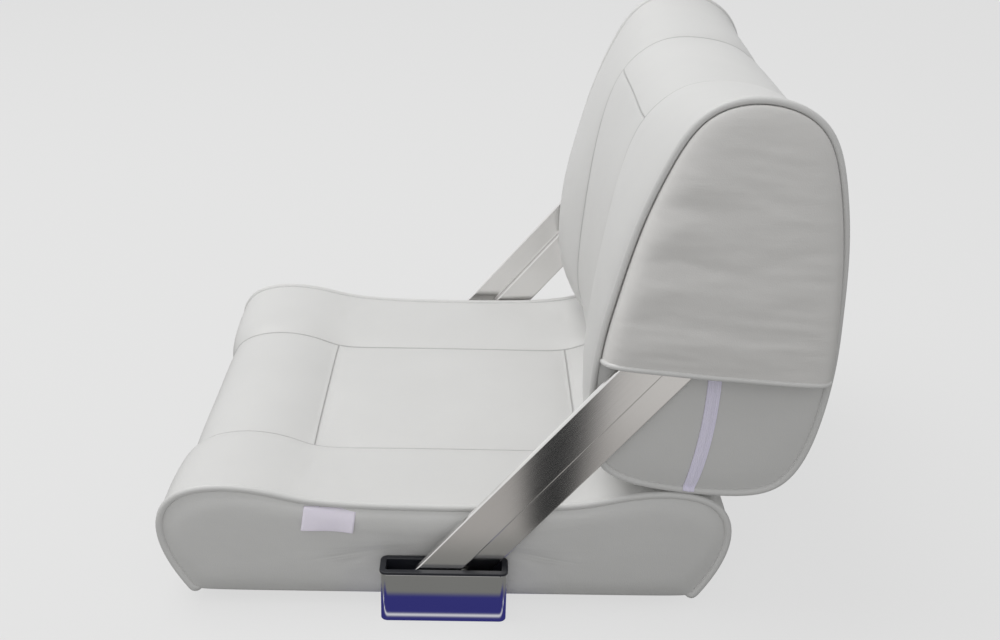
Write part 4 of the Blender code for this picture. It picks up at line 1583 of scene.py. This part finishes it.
    def spot(self, side: int, edge: Vector, share: float) -> Vector:
        """Return one point of the flap.

        Args:
            side: Which side of the seat it hangs on.
            edge: The point of the sewn edge that it lies towards.
            share: From 1 at that edge to 0 at the hem's middle.

        Returns:
            The point in the leaning frame.
        """
        point = self.middle + (edge - self.middle) * share
        height = (point.y + self.hem_drop) / (self.top + self.hem_drop)
        out = self.standing(side, point.x, height, share)
        near = (1 - height) ** self.hem_power
        point.y += near * (self.hem_rise * min(out / self.wall_hem, 1.0)
                           + self.hem_tilt * point.x)
        return Vector((side * (HALF_WIDTH + CLEARANCE + self.thickness / 2 + out), *point))

    @cached_property
    def middle(self) -> Vector:
        """Return the middle of the hem."""
        return (self.edge[0] + self.edge[-1]) / 2

    @cached_property
    def top(self) -> float:
        """Return the height of the sewn edge's top."""
        return max(point.y for point in self.edge)

    def build(self, side: int, label: str) -> bpy.types.Object:
        """Build one flap as a fan from the seam to the hem's middle.

        Args:
            side: Which side of the backrest it hangs on.
            label: That side's name.

        Returns:
            The flap.
        """
        bm = bmesh.new()
        bmesh.ops.create_grid(bm, x_segments=self.across, y_segments=self.inward, size=0.5)
        for vert in bm.verts:
            step = round((vert.co.x + 0.5) * self.across)
            share = 1 - (vert.co.y + 0.5) ** self.spacing
            vert.co = self.spot(side, self.edge[step], max(share, 0.0))
        bmesh.ops.remove_doubles(bm, verts=bm.verts, dist=MERGE_DISTANCE)
        bmesh.ops.transform(bm, matrix=leaning(), verts=bm.verts)
        bmesh.ops.recalc_face_normals(bm, faces=bm.faces)
        piece = made(f"flap_{label}", bm)
        thickened(piece, self.thickness)
        return piece

    def hem(self, side: int, label: str) -> bpy.types.Object:
        """Build the bound edge along the foot of one flap.

        Args:
            side: Which side of the backrest it hangs on.
            label: That side's name.

        Returns:
            The bound edge.
        """
        rear, front = self.edge[0], self.edge[-1]
        path = []
        for step in range(2 * self.hem_steps + 1):
            share = 1 - step / self.hem_steps
            end = rear if share > 0 else front
            reach = 1 - (1 - abs(share)) ** self.spacing
            path.append(leaning() @ self.spot(side, end, reach))
        bm = bmesh.new()
        sweep(bm, path, self.bead, self.bead_sides, closed=False)
        return made(f"hem_{label}", bm)


@dataclass
class Finishes:
    """Every finish of the seat, made once and shared by its pieces.

    Args:
        made: The finishes by name.
    """

    made: dict[str, bpy.types.Material] = field(default_factory=dict)

    def build(self) -> None:
        """Build all the finishes."""
        cover = (0.70, 0.697, 0.685)
        for finish in (
                Vinyl("seat_vinyl", cover, 0.46, Seams.SEAT),
                Vinyl("backrest_vinyl", cover, 0.46, Seams.BACKREST),
                # The flap's vinyl is paler than the cover's: painted light, standing in for the
                # brighter light on the flap.
                Vinyl("flap_vinyl", (0.74, 0.728, 0.710), 0.44, grain=0.00009, waves=0.0012,
                      hairlines=0.00030),
                Vinyl("piping_vinyl", cover, 0.42, grain=0.00005, waves=0.0001),
                Steel("bar_steel", (0.80, 0.79, 0.78), turn=BAR_LEAN),
                Steel("socket_steel", (0.70, 0.70, 0.70), 0.07, lines=0.000003),
                Steel("strap_steel", (0.60, 0.59, 0.58), 0.30),
                Zinc(),
                Moulded("liner_plastic", (0.012, 0.013, 0.018), 0.38),
                Moulded("bush_nylon", (0.80, 0.79, 0.74), 0.50),
                Plywood(),
                Woven("zip_weave", (0.94, 0.91, 1.0), (0.82, 0.78, 1.0), 0.0009, 0.00008),
                Woven("tag_weave", (0.98, 0.94, 1.0), (0.90, 0.84, 1.0), 0.0007, 0.00005)):
            self.made[finish.name] = finish.material()

    def on(self, piece: bpy.types.Object, name: str) -> bpy.types.Object:
        """Give a piece one finish.

        Args:
            piece: The piece.
            name: The finish's name.

        Returns:
            The same piece.
        """
        piece.data.materials.clear()
        piece.data.materials.append(self.made[name])
        return piece

    def on_nodes(self) -> None:
        """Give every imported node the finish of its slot."""
        names = {
            Slot.VINYL: "seat_vinyl", Slot.FLAP_VINYL: "flap_vinyl",
            Slot.WELT_VINYL: "piping_vinyl", Slot.STEEL: "strap_steel", Slot.ZINC: "zinc_plate",
            Slot.BLACK_PLASTIC: "liner_plastic", Slot.NYLON: "bush_nylon",
            Slot.PLYWOOD: "sealed_plywood", Slot.ZIP_TAPE: "zip_weave",
            Slot.TAG_CLOTH: "tag_weave",
        }
        for entry in frame["record"]["subparts"]:
            node = frame["nodes"][entry["node"]]
            finish = self.made[names[Slot(entry["material_slot"])]]
            if not node.material_slots:
                node.data.materials.append(finish)
            for place in node.material_slots:
                place.material = finish


@dataclass
class Socket:
    """The steel box that the bars swing in, and its black liner.

    Args:
        inner_x: Where the box starts, out from the middle.
        outer_x: Where it ends.
        half_depth: Half its length.
        height: The steel's height.
        wall: The steel's thickness, and the liner's.
        corner: The radius of its upright corners.
        steps: Faces round each corner.
        rim: The height of the liner's rim.
        lip: The gap between the rim and the steel.
        overhang: How far the rim stands out over the steel's ends and outer side.
        pin_y: How far each pin lies from the middle.
        pin_z: The pins' height.
        pin_room: The radius of the holes for the pins.
        overrun: How far those holes start inside the box's inner face.
        steel_ease: The width of the steel's eased edges, and their faces.
        rim_ease: The same of the liner's.
    """

    inner_x: float = 0.2225
    outer_x: float = 0.2475
    half_depth: float = 0.0537
    height: float = 0.0470
    wall: float = 0.0025
    corner: float = 0.006
    steps: int = 12
    rim: float = 0.0027
    lip: float = 0.0002
    overhang: float = 0.0009
    pin_y: float = 0.015
    pin_z: float = 0.036
    pin_room: float = 0.0071
    overrun: float = 0.001
    steel_ease: tuple[float, int] = (0.0005, 3)
    rim_ease: tuple[float, int] = (0.0011, 5)

    def upright(self, side: int, low: float, high: float) -> bmesh.types.BMesh:
        """Start a block with round upright corners.

        Args:
            side: Which side of the seat it is on.
            low: The height of its foot.
            high: The height of its top.

        Returns:
            The working mesh.
        """
        size = Vector((self.outer_x - self.inner_x, 2 * self.half_depth, high - low))
        middle = Vector((side * (self.outer_x + self.inner_x) / 2, 0, (high + low) / 2))
        bm = block(size, middle)
        corners = [edge for edge in bm.edges
                   if abs(edge.verts[0].co.z - edge.verts[1].co.z) > size.z / 2]
        bevelled(bm, corners, self.corner, self.steps)
        return bm

    def sunk(self, bm: bmesh.types.BMesh, upper: bool, margin: float, rise: float) -> None:
        """Inset the top or the bottom face and move its middle.

        Args:
            bm: The working mesh.
            upper: Whether it is the top face.
            margin: How wide the rim round the middle is.
            rise: How far the middle goes up.
        """
        pick = max if upper else min
        face = pick(bm.faces, key=lambda item: item.calc_center_median().z)
        bmesh.ops.inset_region(bm, faces=[face], thickness=margin, use_even_offset=True)
        moved = bmesh.ops.extrude_discrete_faces(bm, faces=[face])["faces"][0]
        bmesh.ops.translate(bm, vec=(0, 0, rise), verts=moved.verts)

    def bored(self, piece: bpy.types.Object, side: int) -> None:
        """Bore the holes for the pins, up to the outer steel wall.

        Args:
            piece: The piece to bore.
            side: Which side of the seat it is on.
        """
        start = self.inner_x - self.overrun
        end = self.outer_x - self.wall - CLEARANCE / 2
        for y in (-self.pin_y, self.pin_y):
            centre = Vector((side * (start + end) / 2, y, self.pin_z))
            drilled(piece, centre, self.pin_room, end - start)

    def box(self, side: int, label: str) -> bpy.types.Object:
        """Build the steel box, open at the top.

        Args:
            side: Which side of the seat it is on.
            label: That side's name.

        Returns:
            The box.
        """
        bm = self.upright(side, 0.0, self.height)
        self.sunk(bm, True, self.wall, self.wall - self.height)
        piece = made(f"socket_box_{label}", bm)
        self.bored(piece, side)
        eased(piece, *self.steel_ease)
        return piece

    def liner(self, side: int, label: str) -> bpy.types.Object:
        """Build the liner, with its rim over the steel and its pocket for the bars.

        Args:
            side: Which side of the seat it is on.
            label: That side's name.

        Returns:
            The liner.
        """
        base = self.height + self.lip
        floor = self.wall + self.lip
        bm = self.upright(side, base, base + self.rim)
        wide = self.outer_x - self.inner_x
        grow = (1 + self.overhang / wide, 1 + 2 * self.overhang / (2 * self.half_depth), 1.0)
        hold = Matrix.Translation((-side * self.inner_x, 0, 0))
        bmesh.ops.scale(bm, vec=grow, space=hold, verts=bm.verts)
        self.sunk(bm, False, self.wall + self.lip + self.overhang, floor - base)
        inner = 2 * self.wall + self.lip
        self.sunk(bm, True, inner, floor + self.wall - base - self.rim)
        piece = made(f"socket_rim_{label}", bm)
        self.bored(piece, side)
        eased(piece, *self.rim_ease)
        return piece


@dataclass
class Bars:
    """The flat stainless bars, two a side.

    Args:
        width: The bars' width.
        thickness: Their thickness.
        length: From pivot to pivot.
        gap: Between the front bar and the rear one, sideways.
        centre_x: The middle of that gap.
        foot_z: The height of the lower pivots.
        foot_y: How far they lie from the middle.
        hole: The radius of the holes for the bushes.
        ease: The width of the eased edges.
        ease_steps: Faces across each eased edge.
        end_steps: Faces round each corner of the ends.
        end_flat: Half of what is left flat at each end.
    """

    width: float = 0.030
    thickness: float = 0.006
    length: float = 0.330
    gap: float = 0.0015
    centre_x: float = 0.2350
    foot_z: float = 0.036
    foot_y: float = 0.015
    hole: float = 0.0075
    ease: float = 0.0013
    ease_steps: int = 5
    end_steps: int = 14
    end_flat: float = 0.0002

    def build(self, side: int, label: str, front: bool) -> bpy.types.Object:
        """Build one bar with round ends and its two holes.

        Args:
            side: Which side of the seat it is on.
            label: That side's name.
            front: Whether it is the front bar, which lies outside the rear one.

        Returns:
            The bar.
        """
        out = (self.gap + self.thickness) / 2
        x = side * (self.centre_x + (out if front else -out))
        bm = block((self.thickness, self.length + self.width, self.width))
        corners = [edge for edge in bm.edges
                   if abs(edge.verts[0].co.x - edge.verts[1].co.x) > self.thickness / 2]
        bevelled(bm, corners, self.width / 2 - self.end_flat, self.end_steps)
        foot = Vector((x, self.foot_y * (-1 if front else 1), self.foot_z))
        place = (Matrix.Translation(foot) @ Matrix.Rotation(BAR_LEAN, 4, "X")
                 @ Matrix.Translation((0, self.length / 2, 0)))
        bmesh.ops.transform(bm, matrix=place, verts=bm.verts)
        piece = made(f"{'front' if front else 'rear'}_bar_{label}", bm, smooth=False)
        head = foot + Vector((0, math.cos(BAR_LEAN), math.sin(BAR_LEAN))) * self.length
        for centre in (foot, head):
            drilled(piece, centre, self.hole, self.thickness * 2)
        eased(piece, self.ease, self.ease_steps)
        return piece


@dataclass
class ZipClosure:
    """The zip down the left side panel: its tape with a coil, and its slider.

    Args:
        width: The tape's width.
        thickness: The tape's thickness.
        coil: How far the coil stands up down the middle.
        top: Where the tape starts, below the leaning frame's centre.
        bottom: Where it ends.
        offset: How far behind the leaning frame's centre it lies.
        bend: How far its middle bows back.
        drift: How far its foot lies behind its top.
        taper: The share of its width that it loses at its foot.
        taper_power: How late it does so.
        coil_share: How wide the coil is, of the tape's width.
        rib: How far the tape's ribs stand up.
        ribs: How many ribs lie across it.
        across: Faces across the tape.
        down: Faces down the tape.
        slider_size: The slider's thickness, width and length.
        slider_drop: How far it is parked below the tape's top.
        slider_feel: How far below that top the panel is felt for.
        slider_foot: How wide its foot is, of its width.
        slider_round: The width of its round edges, and their faces.
    """

    width: float = 0.0112
    thickness: float = 0.0008
    coil: float = 0.0007
    top: float = 0.0565
    bottom: float = 0.1800
    offset: float = -0.0005
    bend: float = 0.0040
    drift: float = 0.0005
    taper: float = 0.15
    taper_power: float = 8
    coil_share: float = 0.15
    rib: float = 0.00016
    ribs: int = 6
    across: int = 42
    down: int = 90
    slider_size: Triple = (0.0019, 0.0080, 0.0130)
    slider_drop: float = 0.0012
    slider_feel: float = 0.0135
    slider_foot: float = 0.62
    slider_round: tuple[float, int] = (0.0006, 3)

    def tape(self, face: Feel) -> bpy.types.Object:
        """Build the tape on the side panel.

        Args:
            face: Gives how far out the panel stands at a place in the leaning frame.

        Returns:
            The tape.
        """
        bm = bmesh.new()
        bmesh.ops.create_grid(bm, x_segments=self.across, y_segments=self.down, size=0.5)
        for vert in bm.verts:
            across, down = vert.co.x, vert.co.y + 0.5
            ridge = math.exp(-(across / self.coil_share) ** 2) * self.coil
            ribs = self.rib * math.cos(math.tau * across * self.ribs)
            bow = self.bend * math.sin(math.pi * down) + self.drift * down
            drop = self.top + (self.bottom - self.top) * down
            narrow = 1 - self.taper * down ** self.taper_power
            y = self.offset + across * self.width * narrow + bow
            out = face(y, -drop) + CLEARANCE + self.thickness / 2
            vert.co = (out + ridge + ribs, y, -drop)
        bmesh.ops.recalc_face_normals(bm, faces=bm.faces)
        bmesh.ops.transform(bm, matrix=leaning(), verts=bm.verts)
        piece = made("zip_strip", bm)
        thickened(piece, self.thickness)
        return piece

    def slider(self, face: Feel) -> bpy.types.Object:
        """Build the slider, parked at the top under the flap.

        Args:
            face: Gives how far out the panel stands at a place in the leaning frame.

        Returns:
            The slider.
        """
        panel = face(self.offset, -self.top - self.slider_feel)
        out = panel + 2 * CLEARANCE + self.thickness + self.coil
        size = Vector(self.slider_size)
        middle = Vector((out + size.x, self.offset, -self.top - self.slider_drop - size.z / 2))
        bm = block(size)
        tail = [vert for vert in bm.verts if vert.co.z < 0]
        bmesh.ops.scale(bm, vec=(1.0, self.slider_foot, 1.0), verts=tail)
        bmesh.ops.translate(bm, vec=middle, verts=bm.verts)
        bevelled(bm, bm.edges[:], *self.slider_round)
        bmesh.ops.transform(bm, matrix=leaning(), verts=bm.verts)
        return made("zip_runner", bm)


@dataclass
class BlankTag:
    """The folded woven tag in the left seat seam, left bare.

    Args:
        front: Its front edge.
        rear: Its rear edge.
        top: The height of the seam that holds it.
        drop: How far it hangs.
        fold: The radius of the fold at its foot.
        thickness: The cloth's thickness.
        rows: Faces down each of its two layers.
        turns: Faces round the fold.
        columns: Faces from the front edge to the rear one.
        lift: How far its foot stands out from the panel, at the most.
        lift_mean: The share of that lift all along the foot.
        lift_swing: The share that comes and goes along it.
        lift_waves: How many half waves that takes.
        lean: How far the foot hangs forward.
        tilt: How much lower the rear edge hangs.
    """

    front: float = -0.119
    rear: float = -0.075
    top: float = 0.0983
    drop: float = 0.0200
    fold: float = 0.0005
    thickness: float = 0.0003
    rows: int = 8
    turns: int = 6
    columns: int = 22
    lift: float = 0.0030
    lift_mean: float = 0.6
    lift_swing: float = 0.4
    lift_waves: float = 1.6
    lean: float = 0.0027
    tilt: float = 0.0026

    def build(self, face: Feel) -> bpy.types.Object:
        """Build the tag as one folded strip.

        Args:
            face: Gives how far out the panel stands at a place.

        Returns:
            The tag.
        """
        near, far = CLEARANCE, CLEARANCE + 2 * self.fold
        foot = self.top - self.drop + self.fold
        fall = self.top - foot
        profile = [(near, self.top - step * fall / self.rows) for step in range(self.rows + 1)]
        for step in range(1, self.turns):
            turn = math.pi * step / self.turns
            out = near + self.fold * (1 - math.cos(turn))
            profile.append((out, foot - self.fold * math.sin(turn)))
        profile += [(far, foot + step * fall / self.rows) for step in range(self.rows + 1)]
        bm = bmesh.new()
        verts = [bm.verts.new((x, self.front, z)) for x, z in profile]
        edges = [bm.edges.new(pair) for pair in zip(verts, verts[1:])]
        for _ in range(self.columns):
            grown = bmesh.ops.extrude_edge_only(bm, edges=edges)["geom"]
            fresh = [item for item in grown if isinstance(item, bmesh.types.BMVert)]
            edges = [item for item in grown if isinstance(item, bmesh.types.BMEdge)
                     and all(vert in fresh for vert in item.verts)]
            step = (self.rear - self.front) / self.columns
            bmesh.ops.translate(bm, vec=(0, step, 0), verts=fresh)
        for vert in bm.verts:
            hang = (self.top - vert.co.z) / self.drop
            along = (vert.co.y - self.front) / (self.rear - self.front)
            swing = self.lift_swing * math.cos(math.pi * self.lift_waves * along)
            lift = self.lift * hang ** 2 * (self.lift_mean + swing)
            vert.co.x += face(vert.co.y, vert.co.z) + lift
            vert.co.y -= self.lean * hang
            vert.co.z -= self.tilt * along
        bmesh.ops.recalc_face_normals(bm, faces=bm.faces)
        piece = made("blank_tag", bm)
        thickened(piece, self.thickness)
        return piece


@dataclass
class Studio:
    """The camera at the photograph's place, the pale floor with its painted reflections, and the
    soft light.

    Args:
        eye: Where the camera stands.
        yaw: How far it is turned from straight across the seat, in radians.
        pitch: How far it looks down, in radians.
        roll: How far it is turned about its own line of sight, in radians.
        lens: Its focal length in millimetres.
        sensor: The width of its sensor in millimetres.
        clip_start: How near it starts to see.
        ambient: How strongly the surroundings light the seat.
        backdrop: How bright the camera and polished steel see them, brighter than they light the
            seat: a painted reflection in the steel.
        sky: Their colour.
        overhead: The power of the lamp over the seat, in watts.
        side_fill: The power of the lamp on the camera's side, in watts.
        floor_half: Half the floor's side.
        floor_colour: The floor's own colour, which it throws back up.
        floor_glow: How bright the camera sees it where it glows.
        floor_plain: The share of that glow in what the camera sees.
        floor_roughness: How matt the floor is.
        stand: The colour of the painted reflection where nothing else lies, and of the painted
            stand under the seat.
        stand_edge: Where the painted stand under the seat ends sideways, fading.
        stand_ends: Where it ends toward the front and the rear, fading.
        glint: How far out a painted pale line runs along the stand, and how wide the line is.
        glint_colour: The line's colour.
        tones: The painted reflection of what lies beyond: where each tone starts, where it is
            full, its colour.
        shade_out: Where the painted dark patch behind the sockets starts sideways, fading.
        shade_back: Where it starts toward the rear, fading.
        shade_end: Where it ends there, fading.
        shade_slant: How much further back it ends for each metre out.
        shade_colour: Its colour.
    """

    eye: Vector = field(default_factory=lambda: Vector((1.15465, 0.02128, 0.68788)))
    yaw: float = 0.02239
    pitch: float = 0.41831
    roll: float = 0.02787
    lens: float = 46.36
    sensor: float = 36
    clip_start: float = 0.01
    ambient: float = 0.46
    backdrop: float = 0.90
    sky: Colour = (0.99, 0.995, 1.0)
    overhead: float = 45.0
    side_fill: float = 9.0
    floor_half: float = 6.0
    floor_colour: Colour = (0.38, 0.38, 0.375)
    floor_glow: float = 0.98
    floor_plain: float = 0.66
    floor_roughness: float = 0.85
    stand: tuple[Colour, Colour] = ((0.24, 0.24, 0.23), (0.045, 0.045, 0.23))
    stand_edge: Pair = (0.281, 0.291)
    stand_ends: Pair = (0.075, 0.105)
    glint: Pair = (0.2560, 0.0022)
    glint_colour: Colour = (0.80, 0.80, 0.86)
    tones: tuple[tuple[float, float, Colour], ...] = (
        (0.325, 0.385, (0.45, 0.435, 0.42)),
        (0.48, 0.66, (0.66, 0.645, 0.63)),
        (0.90, 1.30, (1.0, 1.0, 1.0)),
    )
    shade_out: Pair = (0.340, 0.375)
    shade_back: Pair = (0.062, 0.088)
    shade_end: Pair = (0.047, 0.085)
    shade_slant: float = 0.16
    shade_colour: Colour = (0.030, 0.031, 0.032)

    def camera(self) -> None:
        """Place the camera that was fitted to the photograph."""
        level = math.cos(self.pitch)
        forward = Vector((-math.cos(self.yaw) * level, math.sin(self.yaw) * level,
                          -math.sin(self.pitch)))
        right = forward.cross(Vector((0, 0, 1))).normalized()
        up = right.cross(forward)
        turned_right = right * math.cos(self.roll) + up * math.sin(self.roll)
        turned_up = up * math.cos(self.roll) - right * math.sin(self.roll)
        data = bpy.data.cameras.new("photo_camera")
        data.lens = self.lens
        data.sensor_width = self.sensor
        data.clip_start = self.clip_start
        camera = bpy.data.objects.new("photo_camera", data)
        turn = Matrix((turned_right, turned_up, -forward)).transposed().to_4x4()
        camera.matrix_world = Matrix.Translation(self.eye) @ turn
        bpy.context.scene.collection.objects.link(camera)
        bpy.context.scene.camera = camera

    def room(self, graph: Graph, reach: Value, back: Value) -> Value:
        """Paint the reflections that polished steel sees of the room, from the stand outward;
        they glow on the floor for glossy rays alone.

        Args:
            graph: The floor's graph.
            reach: How far out a place lies, to either side.
            back: How far behind the seat's middle it lies.

        Returns:
            The colour there.
        """
        beside = 1.0 - abs(back).above(*self.stand_ends)
        under = beside * (1.0 - reach.above(*self.stand_edge))
        room = graph.blend(under, *self.stand)
        middle, width = self.glint
        room = graph.blend((reach - middle).bell(width) * beside, room, self.glint_colour)
        for start, full, colour in self.tones:
            room = graph.blend(reach.above(start, full), room, colour)
        dim = reach.above(*self.shade_out) * back.above(*self.shade_back)
        dim = dim * (1.0 - (back - reach * self.shade_slant).above(*self.shade_end))
        return graph.blend(dim, room, self.shade_colour)

    def floor(self) -> None:
        """Lay the floor, plain to the camera, glowing for polished steel with the painted
        reflections of the room.
        """
        bm = bmesh.new()
        bmesh.ops.create_grid(bm, x_segments=1, y_segments=1, size=self.floor_half)
        floor = made("floor", bm, smooth=False)
        graph = Graph("floor")
        x, y, _ = graph.axes()
        paths = graph.node("ShaderNodeLightPath", output="Is Glossy Ray")
        camera = Value(graph, paths.socket.node.outputs["Is Camera Ray"])
        room = self.room(graph, abs(x), y)
        glow = graph.node("ShaderNodeEmission", None,
                          {"Color": (1, 1, 1), "Strength": self.floor_glow})
        # Painted reflection: the floor glows with the painted room, for glossy rays alone.
        painted_reflection = graph.node("ShaderNodeEmission", None, {"Color": room, "Strength": 1.0})
        lit = Value(graph, graph.shader.outputs[0])
        graph.surface(Base_Color=self.floor_colour, Roughness=self.floor_roughness)
        shown = graph.node("ShaderNodeMixShader", None,
                           {0: camera * self.floor_plain, 1: lit, 2: glow})
        ends = graph.node("ShaderNodeMixShader", None, {0: paths, 1: shown, 2: painted_reflection})
        output = graph.tree.nodes["Material Output"]
        graph.feed(output.inputs["Surface"], ends)
        floor.data.materials.append(graph.material)

    def lamp(self, name: str, place: Sequence[float], aim: Sequence[float], size: float,
             power: float) -> None:
        """Hang one square soft lamp.

        Args:
            name: The lamp's name.
            place: Where it hangs.
            aim: What it faces.
            size: Its side.
            power: Its power in watts.
        """
        data = bpy.data.lights.new(name, "AREA")
        data.shape = "SQUARE"
        data.size = size
        data.energy = power
        lamp = bpy.data.objects.new(name, data)
        way = Vector(aim) - Vector(place)
        turn = way.to_track_quat("-Z", "Y").to_matrix().to_4x4()
        lamp.matrix_world = Matrix.Translation(place) @ turn
        bpy.context.scene.collection.objects.link(lamp)

    def light(self) -> None:
        """Set the soft overhead light and the pale surroundings."""
        world = bpy.data.worlds.new("surroundings")
        world.use_nodes = True
        tree = world.node_tree
        shader = tree.nodes["Background"]
        # Camera and glossy rays see the world brighter than the light it gives: a painted
        # reflection in the steel.
        paths = tree.nodes.new("ShaderNodeLightPath")
        level = tree.nodes.new("ShaderNodeMapRange")
        either = tree.nodes.new("ShaderNodeMath")
        either.operation = "MAXIMUM"
        tree.links.new(paths.outputs["Is Camera Ray"], either.inputs[0])
        tree.links.new(paths.outputs["Is Glossy Ray"], either.inputs[1])
        tree.links.new(either.outputs[0], level.inputs["Value"])
        level.inputs["To Min"].default_value = self.ambient
        level.inputs["To Max"].default_value = self.backdrop
        tree.links.new(level.outputs[0], shader.inputs["Strength"])
        shader.inputs["Color"].default_value = (*self.sky, 1)
        bpy.context.scene.world = world
        self.lamp("overhead", place=(-0.3, -1.1, 2.8), aim=(0, 0.05, 0.1), size=2.0,
                  power=self.overhead)
        self.lamp("side_fill", place=(2.6, -0.4, 1.6), aim=(0.2, 0.1, 0.15), size=1.6,
                  power=self.side_fill)
        bpy.context.scene.view_settings.view_transform = "Standard"


def main() -> None:
    """Build the dressed seat piece by piece."""
    logging.basicConfig(level=logging.INFO, format="%(message)s")
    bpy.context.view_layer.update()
    finishes = Finishes()
    finishes.build()
    finishes.on_nodes()
    seat = Seat()
    cover = finishes.on(seat.cushion(), "seat_vinyl")
    dress(cover, Body.SEAT, Slot.VINYL, "seat_cushion")
    backrest = Backrest()
    back = finishes.on(backrest.cushion(), "backrest_vinyl")
    dress(back, Body.BACKREST, Slot.VINYL, "backrest_cushion")
    flaps = SideFlap()
    socket = Socket()
    bars = Bars()
    for side, label in reversed(SIDES):
        piping = finishes.on(seat.welt(side, label), "piping_vinyl")
        dress(piping, Body.SEAT, Slot.WELT_VINYL, f"seat_welt_{label}")
        back_piping = finishes.on(backrest.welt(side, label), "piping_vinyl")
        dress(back_piping, Body.BACKREST, Slot.WELT_VINYL, f"backrest_welt_{label}")
        flap = finishes.on(flaps.build(side, label), "flap_vinyl")
        dress(flap, Body.BACKREST, Slot.FLAP_VINYL, f"side_flap_{label}")
        hem = finishes.on(flaps.hem(side, label), "piping_vinyl")
        dress(hem, Body.BACKREST, Slot.FLAP_VINYL)
        box = finishes.on(socket.box(side, label), "socket_steel")
        dress(box, Body.SEAT, Slot.STEEL, f"socket_{label}")
        liner = finishes.on(socket.liner(side, label), "liner_plastic")
        dress(liner, Body.SEAT, Slot.BLACK_PLASTIC, f"socket_liner_{label}")
        bar = finishes.on(bars.build(side, label, front=True), "bar_steel")
        dress(bar, Body.FRONT_ARMS, Slot.STEEL, f"front_link_{label}")
        bar = finishes.on(bars.build(side, label, front=False), "bar_steel")
        dress(bar, Body.REAR_ARMS, Slot.STEEL, f"rear_link_{label}")
    panel = side_face(leaning(), back, back_piping)
    closure = ZipClosure()
    tape = finishes.on(closure.tape(panel), "zip_weave")
    dress(tape, Body.BACKREST, Slot.ZIP_TAPE, "zip_tape")
    runner = finishes.on(closure.slider(panel), "zinc_plate")
    dress(runner, Body.BACKREST, Slot.ZINC, "zip_slider")
    tag = finishes.on(BlankTag().build(side_face(Matrix.Identity(4), cover)), "tag_weave")
    dress(tag, Body.SEAT, Slot.TAG_CLOTH, "seam_tag")
    studio = Studio()
    studio.camera()
    studio.floor()
    studio.light()


if __name__ == "__main__":
    main()
